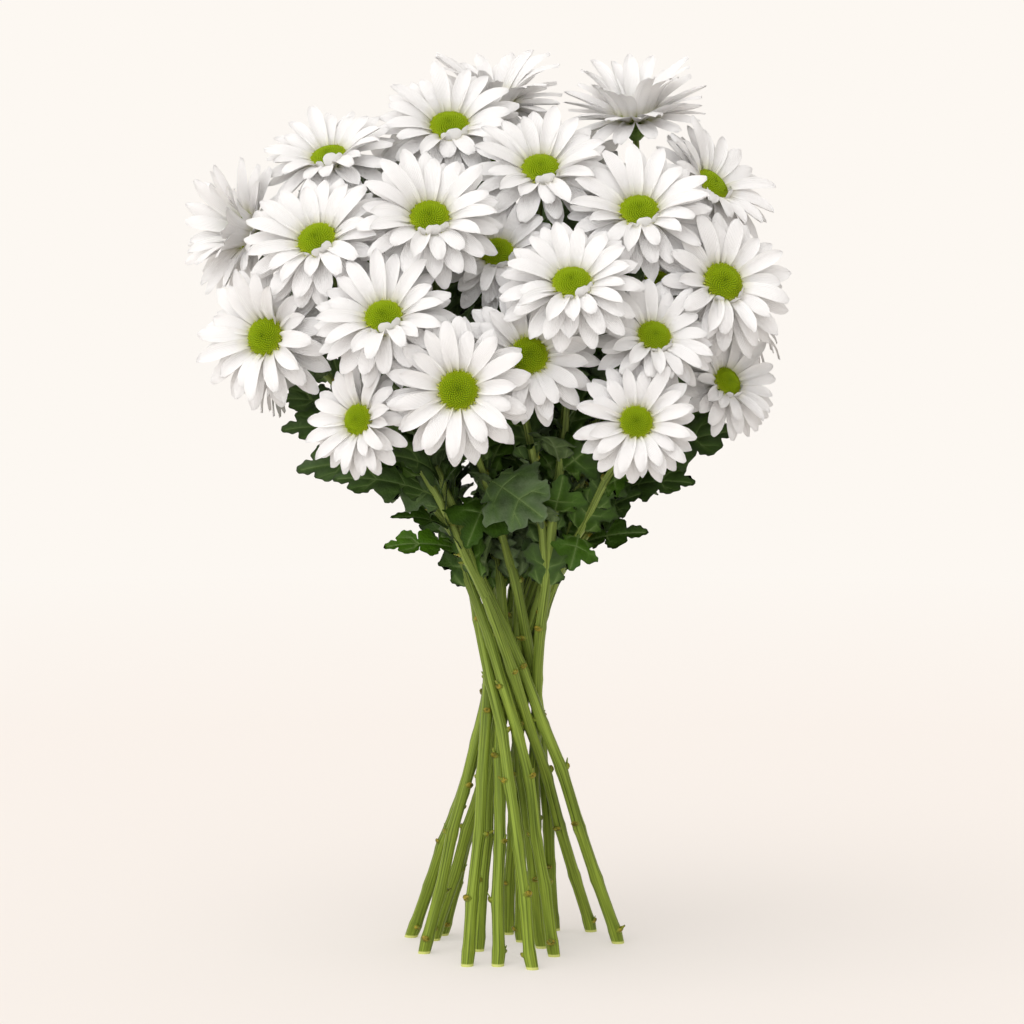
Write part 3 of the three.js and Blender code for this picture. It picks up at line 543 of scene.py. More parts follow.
def plain_mesh(name, points, faces, edges=(), uv=None, sharp=(), **values):
    """A mesh with an optional blade UV map, sharp edges and point values."""
    mesh = bpy.data.meshes.new(name)
    mesh.from_pydata(points, edges, faces)
    for key, given in values.items():
        given = np.asarray(given)
        kind = "FLOAT_VECTOR" if given.ndim == 2 else "INT" if given.dtype.kind == "i" else "FLOAT"
        layer = mesh.attributes.new(key, kind, "POINT").data
        flat = given.ravel().astype(np.int32 if kind == "INT" else np.float32)
        layer.foreach_set("vector" if kind == "FLOAT_VECTOR" else "value", flat)
    if uv is not None:
        corners = np.zeros(len(mesh.loops), np.int32)
        mesh.loops.foreach_get("vertex_index", corners)
        flat = np.asarray(uv, np.float32)[corners].ravel()
        mesh.uv_layers.new(name="blade").data.foreach_set("uv", flat)
    if sharp:
        marks = [tuple(sorted(e.vertices)) in sharp for e in mesh.edges]
        mesh.attributes.new("sharp_edge", "BOOLEAN", "EDGE").data.foreach_set("value", marks)
    return mesh


def box_of_kinds(name, meshes):
    box = bpy.data.collections.new(name)
    for k, mesh in enumerate(meshes):
        box.objects.link(bpy.data.objects.new(f"{name}_{k:02d}", mesh))
    return box


PETAL_GRID, PETAL_THICK = (4, 7), 0.014
PETAL_FACES = grid_faces(*PETAL_GRID)
# Kinds of petal for each row: rise at the claw and at the tip, lift of the edges, tip width, sideways bend
PETAL_KINDS = {
    "outer": [
        (10, -16, -0.05, 0.24, 0.02), (15, -26, -0.07, 0.32, -0.03),
        (6, -8, 0.03, 0.2, 0.0), (14, -20, -0.02, 0.36, 0.02),
    ],
    "middle": [
        (16, -20, -0.05, 0.26, -0.02), (20, -30, -0.07, 0.34, 0.03),
        (12, -14, 0.04, 0.22, 0.0), (18, -32, -0.05, 0.38, -0.03),
    ],
    "lip": [(-4, 22, 0.1, 0.5, 0.02), (6, 8, 0.08, 0.45, -0.03)],
    "inner": [
        (26, -34, -0.05, 0.34, 0.02), (20, -26, 0.07, 0.28, -0.02),
        (32, -44, -0.03, 0.4, 0.0), (16, -30, 0.08, 0.32, 0.03),
    ],
}
petal_tops, petal_meshes, first_kind = [], [], {}
for family, kinds in PETAL_KINDS.items():
    first_kind[family] = len(petal_tops)
    for values in kinds:
        top, normals, uv = petal_shape(PETAL_GRID, *values)
        points, faces, rim, inner = closed_sheet(top, PETAL_FACES, normals * PETAL_THICK)
        petal_meshes.append(plain_mesh("petal_kind", points, faces, uv=np.vstack([uv, uv[inner]]), sharp=rim))
        petal_tops.append(top)
PETALS = box_of_kinds("petal_kinds", petal_meshes)


# ---- Growing trees ----------------------------------------------------------------------------------
def growing_tree(name, **sockets):
    """An empty Geometry Nodes tree with a geometry input and output and the given named inputs."""
    tree = bpy.data.node_groups.new(name, "GeometryNodeTree")
    for label, kind in {"Geometry": "Geometry", **sockets}.items():
        tree.interface.new_socket(label, in_out="INPUT", socket_type="NodeSocket" + kind)
    tree.interface.new_socket("Geometry", in_out="OUTPUT", socket_type="NodeSocketGeometry")
    return tree, tree.nodes.new("NodeGroupInput").outputs


def end_tree(tree, shape, skin):
    """Smooths what a tree has made real, gives it its finish and hands it out."""
    smooth = add(tree, "GeometryNodeSetShadeSmooth", shape)
    add(tree, "NodeGroupOutput", add(tree, "GeometryNodeSetMaterial", smooth, None, skin))
    return tree


def set_on_points(tree, points, kinds, index, rotation, scale):
    """Sets a kind from a collection on each point and makes the copies real."""
    kinds = add(tree, "GeometryNodeCollectionInfo", kinds, True, True)
    copies = add(tree, "GeometryNodeInstanceOnPoints", points, None, kinds, True, index, rotation, scale)
    return add(tree, "GeometryNodeRealizeInstances", copies)


POINT_VALUES = {"kind": "INT", "turn": "FLOAT_VECTOR", "size": "FLOAT_VECTOR"}  # what points_mesh stores


def whorl_tree():
    """Sets a shape from a collection on each point, turned and sized by the point's values."""
    tree, given = growing_tree("whorl", Kinds="Collection", Finish="Material")
    read = "GeometryNodeInputNamedAttribute"
    values = (add(tree, read, name, data_type=kind) for name, kind in POINT_VALUES.items())
    return end_tree(tree, set_on_points(tree, given["Geometry"], given["Kinds"], *values), given["Finish"])


def piece_of(mesh):
    piece = bpy.data.objects.new(mesh.name, mesh)
    bpy.context.scene.collection.objects.link(piece)
    return piece


def grow(name, source, tree, **values):
    """Runs a tree on a mesh and keeps the result as a plain mesh piece."""
    source.name = name + "_seed"
    seed = piece_of(source)
    modifier = seed.modifiers.new("grow", "NODES")
    modifier.node_group = tree
    for item in tree.interface.items_tree:
        if item.in_out == "INPUT" and item.name in values:
            modifier[item.identifier] = values[item.name]
    seed.update_tag()
    ready = seed.evaluated_get(bpy.context.evaluated_depsgraph_get())
    mesh = bpy.data.meshes.new_from_object(ready)
    bpy.data.objects.remove(seed)
    mesh.name = name
    return piece_of(mesh)


def fit(piece, node):
    """Ties a piece to the frame: it rides the root and stands for a CAD node."""
    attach(piece, "root")
    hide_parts(node)


def points_mesh(rows):
    """Points with their turn, size and kind, from (place, turn matrix, size, kind) rows in millimetres."""
    places, turns, sizes, kinds = zip(*rows)
    turns = [list(Matrix(m.T.tolist()).to_euler()) for m in turns]
    places, sizes = (np.array(places) + AXIS) * MM, np.array(sizes) * MM
    return plain_mesh("points", places, [], turn=turns, size=sizes, kind=[int(k) for k in kinds])


WHORL = whorl_tree()


# ---- Petals -----------------------------------------------------------------------------------------
# Rows of petals: how many, root radius and height, reach as a share of the bloom's radius, width, share of
# the upper rays' lift, further lift, spread of the reach, and lift of the far side on a bloom that looks up
ROWS = {
    "outer": (14, 8.4, -2.7, 1.05, 9.4, 0.0, -3, 0.04, 11),
    "middle": (14, 8.7, -2.0, 1.02, 9.0, 0.42, 0, 0.05, 9),
    "inner": (15, 9.0, -1.3, 0.9, 8.0, 1.0, 2, 0.13, 4),
}
JITTER = {"angle": 0.22, "lift": 3.5, "wide": 0.08, "roll": 7}
SHORTEST = 0.72  # the least cosine that a raised petal is lengthened by
# Short petals curled over the disc, a little right of the side nearest the ground, on blooms that look up
LIPS = {"root": 11.0, "z": -0.8, "long": 7.6, "wide": 7.6, "lift": 100, "apart": 0.58, "aside": 0.35}
LIPS_FROM = math.sin(math.radians(20))  # least upward part of a bloom's axis
LIP_SIZES = [0.62, 1, 0.78]
LIP_JITTER = {"angle": 0.18, "long": 0.2, "lift": 14}
CLOSED = {19: 26, 20: 34, 21: 16}  # blooms whose petals still stand up, in degrees
PETAL_TRIES = [0, 5, -5, 10, -10, 16, -16, 24, -24, 34]
PETAL_LENGTHS = [1, 0.86]
PETAL_SLACK = 0.024  # share of the solid bunch's size by which petals may pass it
room_low, room_high = (np.array(corner) / MM - AXIS for corner in cad_box)
slack = (room_high - room_low) * PETAL_SLACK
room_low, room_high = room_low - slack, room_high + slack


def lift_at(rays, angle):
    """Lift of a layer of solid rays at an angle, between its two nearest rays."""
    rows = sorted((a % TURN, lift) for a, lift in rays)
    angles, lifts = zip((rows[-1][0] - TURN, rows[-1][1]), *rows, (rows[0][0] + TURN, rows[0][1]))
    return float(np.interp(angle % TURN, angles, lifts))


def petal_place(head, axes, angle, lift, root, length, wide, roll):
    """Root, own axes as rows, and size of one petal."""
    out = between(axes[0], axes[1], angle)
    across, along = np.cross(out, axes[2]), between(out, axes[2], math.radians(lift))
    up = np.cross(across, along)
    across, up = between(across, up, roll), between(up, -across, roll)
    start = head["base"] + (out * root[0] + axes[2] * root[1]) * head["scale"]
    return start, np.array([across, along, up]), (wide, length, length)


def wanted_petals(head, axes, layers, draw):
    """Row, angle, lift, root, length and width of each petal of a bloom, before any is bent clear."""
    s, closed, wanted = head["scale"], CLOSED.get(head["number"], 0), []
    low_side, upward = math.atan2(-axes[1][2], -axes[0][2]), head["axis"][2]
    first = draw() * math.pi
    for kind, (count, radius, z, reach, wide, upper, lift, vary, far) in ROWS.items():
        shift = first + (upper > 0) * math.pi / count + 0.5 * upper * draw()
        for i in range(count):
            angle = shift + (i + JITTER["angle"] * draw()) * TURN / count
            rise = lift_at(layers[0], angle) * (1 - upper) + lift_at(layers[1], angle) * upper
            rise += lift + JITTER["lift"] * draw() + closed * (0.5 + 0.5 * upper)
            rise -= far * upward * math.cos(angle - low_side)
            length = head["r"] * reach * (1 + vary * draw()) - radius * s
            length /= max(math.cos(math.radians(rise)), SHORTEST)
            wanted.append((kind, angle, rise, (radius, z), length, wide))
    if upward > LIPS_FROM and not closed:
        for i, share in enumerate(LIP_SIZES):
            angle = low_side + LIPS["aside"] + (i - 1) * LIPS["apart"] + LIP_JITTER["angle"] * draw()
            length = LIPS["long"] * s * (share + LIP_JITTER["long"] * draw())
            rise, root = LIPS["lift"] + LIP_JITTER["lift"] * draw(), (LIPS["root"], LIPS["z"])
            wanted.append(("lip", angle, rise, root, length, LIPS["wide"] * share))
    return wanted


def petals_of(head, blocks):
    """Rows for one bloom's petals, each bent clear of what is there, and their surfaces."""
    axes, layers = rays_of(head)
    draw = draws(1000 + head["number"])
    tries = [(k, o) for k in PETAL_LENGTHS for o in PETAL_TRIES] + [(PETAL_LENGTHS[-1], 0)]
    rows, shapes = [], []
    for family, angle, lift, root, length, width in wanted_petals(head, axes, layers, draw):
        wide = width * head["scale"] * (1 + JITTER["wide"] * draw())
        roll = math.radians(JITTER["roll"] * draw())
        kind = first_kind[family] + int((draw() + 1) / 2 * 0.999 * len(PETAL_KINDS[family]))
        for share, offset in tries:
            place = petal_place(head, axes, angle, lift + offset, root, length * share, wide, roll)
            points = (petal_tops[kind] * place[2]) @ place[1] + place[0]
            tree = BVHTree.FromPolygons(points.tolist(), PETAL_FACES)
            kept = (points > room_low).all() and (points < room_high).all()
            if kept and not any(tree.overlap(b) for b in blocks):
                break
        rows.append((*place, kind))
        shapes.append(points)
    return rows, shapes


stem_trees = []
for n in range(len(STEMS)):
    points, faces = node_mesh(f"stem_{n + 1:02d}")
    stem_trees.append(BVHTree.FromPolygons(points.tolist(), faces))
bloom_trees = []
for head in sorted(heads, key=lambda h: h["base"][1]):
    near = [t for h, t in bloom_trees if np.linalg.norm(h["base"] - head["base"]) < h["r"] + head["r"] + 4]
    rows, shapes = petals_of(head, near + [t for n, t in enumerate(stem_trees) if n != head["stem"]])
    size, label = len(shapes[0]), f"{head['number']:02d}"
    faces = [tuple(i + n * size for i in f) for n in range(len(shapes)) for f in PETAL_FACES]
    bloom_trees.append((head, BVHTree.FromPolygons(np.vstack(shapes).tolist(), faces)))
    petals = grow("petals_" + label, points_mesh(rows), WHORL, Kinds=PETALS, Finish=PETAL_SKIN)
    fit(petals, "bloom_" + label)


# ---- Discs ------------------------------------------------------------------------------------------
def lathe(profile, sides, place=np.zeros(3), axes=np.eye(3)):
    """A closed turned solid from (radius, height) pairs that start and end on the axis."""
    points, faces, rings = [], [], []
    for r, z in profile:
        count = sides if r > 0 else 1
        rings.append(list(range(len(points), len(points) + count)) * (sides // count))
        points += [place + axes[2] * z + between(*axes[:2], TURN * k / sides) * r for k in range(count)]
    for lower, upper in zip(rings, rings[1:]):
        for k in range(sides):
            n = (k + 1) % sides
            faces.append(tuple(dict.fromkeys([lower[k], lower[n], upper[n], upper[k]])))
    return np.array(points), faces


# The domed disc: `full` is the power of its curve, and the dimple's width is a share of its radius
DISC = {"edge": 9.7, "dome": 3.2, "full": 2.3, "dimple": 1.0, "dimple_share": 0.34}
DISC_SKIRT, DISC_SINK = -1.6, 0.25  # how low the florets' seat starts, and how deep it lies under them
DISC_SHARES = [1.0, 0.94, 0.8, 0.6, 0.4, 0.24, 0.12, 0.0]
# Florets: how many, width with its share in the middle and what it gains outward, and shares of the radius
# where they open and turn to spikes; then how much they lean out per metre, and how much more spikes do
FLORET = {"count": 300, "wide": 1.26, "inner": 0.82, "gain": 0.3, "open": 0.62, "spikes": 0.93}
LEAN = {"floret": 70.0, "spike": 260.0}
GOLDEN = math.pi * (3 - math.sqrt(5))
# A rounded bud, an opened floret with a shallow cup, and a pointed one; all one unit wide
FLORET_PROFILES = [
    [(0.0, -0.5), (0.38, -0.5), (0.5, 0.25), (0.34, 0.85), (0.0, 1.0)],
    [(0.0, -0.5), (0.38, -0.5), (0.5, 0.25), (0.42, 0.75), (0.0, 0.5)],
    [(0.0, -0.8), (0.34, -0.8), (0.34, 0.3), (0.0, 1.7)],
]
floret_meshes = []
for profile in FLORET_PROFILES:
    points, faces = lathe(profile, 5)
    # painted shade: deep green where a floret's foot sits down among the others, and in an open floret's cup
    pit = np.where(points[:, 2] < -0.1, 0.6, 0.0)  # deep green at the foot, and in an open floret's cup
    pit[-1] = 0.7 if points[-1, 2] < 0.6 else 0.0
    floret_meshes.append(plain_mesh("floret", points, faces, pit=pit))


def disc_tree():
    """Florets in a spiral over the disc's body: buds in the middle, then open ones, and spikes at the rim."""
    tree, given = growing_tree(
        "floret_spiral", Florets="Int", Radius="Float", Dome="Float", Dimple="Float", Dimple_share="Float",
        Floret_width="Float", Base="Vector", Turn="Rotation", Kinds="Collection", Finish="Material",
    )
    index = add(tree, "GeometryNodeInputIndex")
    share = add(tree, "DIVIDE", add(tree, "ADD", index, 0.5), given["Florets"])
    share = add(tree, "SQRT", share)
    angle = add(tree, "MULTIPLY", index, GOLDEN)
    radius = add(tree, "MULTIPLY", share, given["Radius"])
    dip = add(tree, "DIVIDE", share, given["Dimple_share"])
    dip = add(tree, "MAXIMUM", add(tree, "SUBTRACT", 1.0, dip), 0.0)
    dip = add(tree, "MULTIPLY", given["Dimple"], add(tree, "MULTIPLY", dip, dip))
    dome = add(tree, "SUBTRACT", 1.0, add(tree, "POWER", share, DISC["full"]))
    height = add(tree, "SUBTRACT", add(tree, "MULTIPLY", given["Dome"], dome), dip)
    spike = add(tree, "GREATER_THAN", share, FLORET["spikes"])
    lean = add(tree, "MULTIPLY_ADD", spike, LEAN["spike"], LEAN["floret"])
    lean = add(tree, "MULTIPLY", radius, lean)
    sides = [add(tree, "CombineXYZ", *parts) for parts in ((radius, 0.0, height), (lean, 0.0, 1.0))]
    place, way = (
        add(tree, "VectorRotate", side, inputs={"Angle": angle}, rotation_type="Z_AXIS") for side in sides
    )
    turn = add(tree, "FunctionNodeAlignRotationToVector", None, None, way, axis="Z")
    wide = add(tree, "MULTIPLY_ADD", share, FLORET["gain"], FLORET["inner"])
    wide = add(tree, "MULTIPLY", given["Floret_width"], wide)
    kind = add(tree, "ADD", add(tree, "GREATER_THAN", share, FLORET["open"]), spike)
    cloud = add(tree, "GeometryNodePoints", given["Florets"], place)
    cloud = add(tree, "GeometryNodeStoreNamedAttribute", cloud, None, "reach", share, data_type="FLOAT")
    real = set_on_points(tree, cloud, given["Kinds"], kind, turn, wide)
    real = add(tree, "GeometryNodeTransform", real, given["Base"], given["Turn"])
    join = add(tree, "GeometryNodeJoinGeometry", real, inputs={"Geometry": given["Geometry"]})
    return end_tree(tree, join, given["Finish"])


FLORETS, FLORET_KINDS = disc_tree(), box_of_kinds("floret_kinds", floret_meshes)


def disc_body(head, axes):
    """The receptacle that the florets stand on."""
    s, edge, low, profile = head["scale"], DISC["edge"], DISC_SKIRT * head["scale"], []
    for k in DISC_SHARES:
        dip = max(0.0, 1 - k / DISC["dimple_share"])
        height = DISC["dome"] * (1 - k ** DISC["full"]) - DISC["dimple"] * dip**2
        profile.append((edge * k * 0.98 * s, (height - DISC_SINK) * s))
    points, faces = lathe([(0.0, low), (edge * 0.8 * s, low), *profile], 24, head["base"], axes)
    reach = np.linalg.norm(np.cross(points - head["base"], axes[2]), axis=1) / (edge * s)
    # painted shade: the body between the florets' feet is darkened all over
    pit = np.full(len(points), 0.55)
    return plain_mesh("disc_body", (points + AXIS) * MM, faces, reach=reach * 0.9, pit=pit)


# ---- Cups of bracts ---------------------------------------------------------------------------------
# Rows of bracts: how many, radius and height of their middle, length, lift
CUP_ROWS = [(9, 6.6, -8.6, 4.6, 52), (11, 7.9, -6.6, 4.8, 40), (12, 8.8, -4.9, 4.6, 22)]
BRACT, BRACT_GRID = {"wide": 4.4, "thick": 0.1, "jitter": 0.12, "lift": 4}, (4, 5)
# The cup's outline as radius and height; it keeps its foot on the neck, below `CUP_FOOT`
CUP_FOOT, CUP = -12, [
    (0.0, -12.5), (2.3, -12.3), (3.4, -10.8), (5.4, -8.8), (7.2, -6.6), (8.2, -4.4), (8.4, -3.2), (0.0, -2.9),
]

top, normals, _ = petal_shape(BRACT_GRID, -14, 22, 0.12, 0.22, 0.0, 0.45, 0.62)
points, faces, rim, _ = closed_sheet(top, grid_faces(*BRACT_GRID), normals * BRACT["thick"])
BRACTS = box_of_kinds("bract_kinds", [plain_mesh("bract", points, faces, sharp=rim)])


def cup_rows(head, axes, draw):
    """Places of the bracts round the cup, each lying along it toward the petals."""
    s, rows = head["scale"], []
    for k, (count, radius, z, length, rest) in enumerate(CUP_ROWS):
        for i in range(count):
            out = between(axes[0], axes[1], (i + k / 3 + BRACT["jitter"] * draw()) * TURN / count)
            lift = math.radians(rest + BRACT["lift"] * draw())
            along, across = between(out, axes[2], lift), np.cross(axes[2], out)
            back, down = length * math.cos(lift) * 0.7, length * math.sin(lift) * 0.25
            start = out * (radius - back) + axes[2] * (z - down)
            turn = np.array([across, along, np.cross(across, along)])
            rows.append((head["base"] + start * s, turn, (BRACT["wide"] * s, length * s, length * s), 0))
    return rows


for head in heads:
    node, label, axes = f"stem_{head['stem'] + 1:02d}", f"{head['number']:02d}", bloom_frame(head, 0.0)
    s, unit_mm = head["scale"], head["scale"] * MM
    disc = grow(
        "disc_" + label, disc_body(head, axes), FLORETS, Florets=FLORET["count"],
        Radius=DISC["edge"] * unit_mm, Dome=DISC["dome"] * unit_mm,
        Dimple=DISC["dimple"] * unit_mm, Dimple_share=DISC["dimple_share"],
        Floret_width=FLORET["wide"] * unit_mm, Base=(head["base"] + AXIS) * MM,
        Turn=Matrix(axes.T.tolist()).to_euler(), Kinds=FLORET_KINDS, Finish=DISC_SKIN,
    )
    fit(disc, node)
    bracts = points_mesh(cup_rows(head, axes, draws(2000 + head["number"])))
    fit(grow("bracts_" + label, bracts, WHORL, Kinds=BRACTS, Finish=BRACT_SKIN), node)
    outline = [(r * s, z * s if z > CUP_FOOT else z) for r, z in CUP]
    points, faces = lathe(outline, 20, head["base"], axes)
    cup = plain_mesh("cup_" + label, (points + AXIS) * MM, faces)
    cup.materials.append(BRACT_SKIN)
    cup.shade_smooth()
    fit(piece_of(cup), node)


# ---- Stems ------------------------------------------------------------------------------------------
# Skin of a stem: step of its rings, ribs and their depth, sides, share of the solid's radius, kink at a scar,
# and size of the last ring
SKIN = {"step": 3.6, "ribs": 6, "sides": 18, "depth": 0.03, "slim": 0.98, "kink": 0.6, "last": 0.9}
# Swellings at a scar and at the fork: share of the radius, how long, and how far below the middle of the scar
SWELL, FORK_SWELL = {"share": 0.15, "long": 3.2, "below": 1.5}, {"share": 0.25, "long": 7}
# Leaf scars: first one on a stem and on a branch, distance, turn between two, size, radius of the stem below
# which they get smaller, bare end of the route, and how deep they sit
SCARS = {"every": 27, "spread": 6, "turn": 2.4, "size": 3.3, "vary": 0.5, "full": 2.6, "end": 12}
FIRST_SCAR, SCAR_DEPTH = (9, 22), 0.86


def scar_shape(stub):
    """A leaf scar one unit wide that faces +Z, its upper edge toward +Y: a corky ledge, some with a stub."""
    points, faces = lathe([(0.0, -0.6), (0.6, -0.5), (0.58, 0.1), (0.44, 0.42), (0.22, 0.5), (0.0, 0.34)], 8)
    points[:, 1] = points[:, 1] * 0.8 + 0.45 * np.clip(points[:, 2], 0, 1)
    scar = np.clip(points[:, 2] * 2.4, 0, 0.95)
    if stub:
        spur, more = lathe([(0.0, 0.0), (0.3, 0.0), (0.24, 0.7), (0.13, 1.2), (0.0, 1.3)], 6)
        lean, rise = ((0.9, 0.5), (0.5, 0.9))[stub - 1]
        spur = np.stack([spur[:, 0], spur[:, 1] + spur[:, 2] * lean, spur[:, 2] * rise], 1)
        faces = faces + [tuple(i + len(points) for i in f) for f in more]
        scar = np.concatenate([scar, np.clip(spur[:, 2] - 0.4, 0, 0.8)])
        points = np.vstack([points, spur])
    return plain_mesh("scar", points, faces, scar=scar)


def shoot_tree():
    """Skins lines with a ribbed profile, slides the first ring onto the floor, and sets leaf scars on."""
    tree, given = growing_tree(
        "ribbed_shoot", Sides="Int", Ribs="Int", Rib_depth="Float", Unit="Float", Scars="Object",
        Scar_kinds="Collection", Finish="Material",
    )
    values = {"thick": "FLOAT", "along": "FLOAT", "heading": "FLOAT_VECTOR", **POINT_VALUES}
    thick, along, heading, *marks = (
        add(tree, "GeometryNodeInputNamedAttribute", name, data_type=kind) for name, kind in values.items()
    )
    position = add(tree, "GeometryNodeInputPosition")
    line = add(tree, "GeometryNodeMeshToCurve", given["Geometry"])
    ring = add(tree, "GeometryNodeCurvePrimitiveCircle", given["Sides"], given["Unit"], mode="RADIUS")
    tangent = add(tree, "GeometryNodeInputTangent")
    girth = add(tree, "VectorMath", position, operation="NORMALIZE")
    line, ring = (
        add(tree, "GeometryNodeStoreNamedAttribute", *values, data_type="FLOAT_VECTOR")
        for values in ((line, None, "heading", tangent), (ring, None, "girth", girth))
    )
    turns = add(tree, "MULTIPLY", add(tree, "GeometryNodeInputIndex"), given["Ribs"])
    turns = add(tree, "DIVIDE", turns, given["Sides"])
    wave = add(tree, "COSINE", add(tree, "MULTIPLY", turns, TURN))
    wave = add(tree, "MULTIPLY", wave, given["Rib_depth"])
    ridge = add(tree, "VectorMath", position, inputs={"Scale": wave}, operation="SCALE")
    ring = add(tree, "GeometryNodeSetPosition", ring, None, None, ridge)
    tube = add(tree, "GeometryNodeCurveToMesh", line, ring, thick, True)
    height, rise = (add(tree, "SeparateXYZ", vector, out="Z") for vector in (position, heading))
    drop = add(tree, "DIVIDE", add(tree, "MULTIPLY", height, -1.0), rise)
    slide = add(tree, "VectorMath", heading, inputs={"Scale": drop}, operation="SCALE")
    foot = add(tree, "LESS_THAN", along, 0.1 * MM)
    tube = add(tree, "GeometryNodeSetPosition", tube, foot, None, slide)
    scars = add(tree, "GeometryNodeObjectInfo", given["Scars"], out="Geometry")
    scars = set_on_points(tree, scars, given["Scar_kinds"], *marks)
    join = add(tree, "GeometryNodeJoinGeometry", scars, inputs={"Geometry": tube})
    return end_tree(tree, join, given["Finish"])


SHOOT, SCAR_KINDS = shoot_tree(), box_of_kinds("scar_kinds", [scar_shape(k) for k in range(3)])


def carried(line):
    """Directions along and across a line, carried along it without twist."""
    ahead = np.gradient(line, axis=0)
    ahead /= np.linalg.norm(ahead, axis=1)[:, None]
    side, sides = unit(np.cross([1, 0, 0], ahead[0])), []
    for t in ahead:
        side = unit(side - t * (side @ t))
        sides.append(side)
    return ahead, np.array(sides), np.cross(ahead, np.array(sides))


def shoot_line(route, start, draw, first):
    """One stem's or branch's line with kinks and swellings at its leaf scars, and the scars' rows."""
    line, at, share = smooth_route(route["points"], SKIN["step"])
    ahead, e1, e2 = carried(line)
    thick = np.interp(share, np.arange(len(route["radii"])), route["radii"]) * SKIN["slim"]
    places, d = [], first
    while d < at[-1] - SCARS["end"]:
        places.append(d)
        d += SCARS["every"] + SCARS["spread"] * draw()
    turn0 = draw() * math.pi
    turns = [turn0 + k * SCARS["turn"] for k in range(len(places))]
    stops = [0.0, *places, at[-1]]
    for e, way in ((e1, math.cos), (e2, math.sin)):
        line = line + e * np.interp(at, stops, [0.0, *(SKIN["kink"] * way(a) for a in turns), 0.0])[:, None]
    scars = []
    for angle, d in zip(turns, places):
        thick = thick * (1 + SWELL["share"] * np.exp(-(((at - d + SWELL["below"]) / SWELL["long"]) ** 2)))
        i = int(np.argmin(abs(at - d)))
        out = between(e1[i], e2[i], angle)
        size = (SCARS["size"] + SCARS["vary"] * draw()) * min(1.0, thick[i] / SCARS["full"])
        turn, kind = np.array([np.cross(ahead[i], out), ahead[i], out]), (draw() + 1) * 1.499
        scars.append((line[i] + out * thick[i] * SCAR_DEPTH, turn, (size * 1.2, size, size), kind))
    thick[-1] *= SKIN["last"]
    return line, at + start, thick, scars


def shoot_mesh(pair, n):
    """The lines of one stem and its branch with their thickness and length, and the points of the scars."""
    draw = draws(3000 + n)
    stem, branch = pair
    line, at, thick, scars = shoot_line(stem, 0.0, draw, FIRST_SCAR[0] + SCARS["spread"] * draw())
    fork_at = at[int(np.argmin(np.linalg.norm(line - branch["points"][0], axis=1)))]
    more, at2, thick2, scars2 = shoot_line(branch, fork_at, draw, FIRST_SCAR[1] + SCARS["spread"] * draw())
    thick2 = thick2 * (1 + FORK_SWELL["share"] * np.exp(-(((at2 - fork_at) / FORK_SWELL["long"]) ** 2)))
    points = (np.vstack([line, more]) + AXIS) * MM
    edges = [(i, i + 1) for i in range(len(points) - 1) if i != len(line) - 1]
    values = {"thick": np.concatenate([thick, thick2]), "along": np.concatenate([at, at2]) * MM}
    return plain_mesh("lines", points, [], edges, **values), points_mesh(scars + scars2)


for n, pair in enumerate(shoots):
    label = f"{n + 1:02d}"
    lines, marks = shoot_mesh(pair, n)
    marker = bpy.data.objects.new("scar_points", marks)
    piece = grow(
        "shoot_" + label, lines, SHOOT, Sides=SKIN["sides"], Ribs=SKIN["ribs"], Rib_depth=SKIN["depth"],
        Unit=MM, Scars=marker, Scar_kinds=SCAR_KINDS, Finish=STEM_SKIN,
    )
    bpy.data.objects.remove(marker)
    fit(piece, "stem_" + label)


# ---- Leaves -----------------------------------------------------------------------------------------
LEAF = {"stalk": 0.2, "stalk_wide": 0.9, "bow": 0.1, "fold": 14, "large": 40, "thick": 0.8, "sheet": 0.3}
LEAF_GRAIN, DEEP_GRAIN = 1.7, 2.8  # distance between the points on a leaf in sight and on one deep inside
# Lobe tips and the notches between them, as shares of the half width and of the length
LOBES = {
    "small": [(0.68, 0.33), (0.21, 0.45), (1, 0.63), (0.28, 0.73)],
    "large": [(0.6, 0.28), (0.19, 0.38), (1, 0.53), (0.24, 0.62), (0.74, 0.81), (0.24, 0.86)],
}
LOBE_JITTER = (0.05, 0.012)
# Teeth: foot and point of each as place along a run, spread of that, and kick outward; runs long enough for
# two and for three; how far a run back to a notch and one out to a tip bulge; what is cut from each corner
TOOTH = [(0.16, 0, -0.03), (0.66, 0.1, 0.25)]
TEETH = {"two": 4.5, "three": 9, "bulge": (0.05, 0.19), "cut": 0.18}
CLEAR = {"rim": 0.6, "vein": 0.7, "apart": 0.15}  # room round the outline, the veins and each outline point
LEAF_TIPS, LEAF_SWINGS = [0, 10, -10, 20, -20, 32, -32], [0, 14, -14, 28, -28]
LEAF_LENGTHS = [1, 0.84, 0.68, 0.54]
# Leaves grown deep in the bunch, beside those that the frame's solids hold
DEEP = {"low": 176, "high": 380, "every": 8.5, "turn": 137.5, "long": 33, "ratio": 0.7, "end": 14}
DEEP_TRIES = [(k, a, b) for k in (1, 0.75, 0.55) for a in (0, 40, -40, 85, -85) for b in (0, -20, 18)]
# Height along the bundle with the lean of the leaves there, and how far from its axis their tips may lie
DEEP_LEAN = [(175, 12), (245, 48)]
DEEP_WIDTH = [(185, 3), (200, 15), (215, 36), (240, 76), (270, 104), (380, 140)]


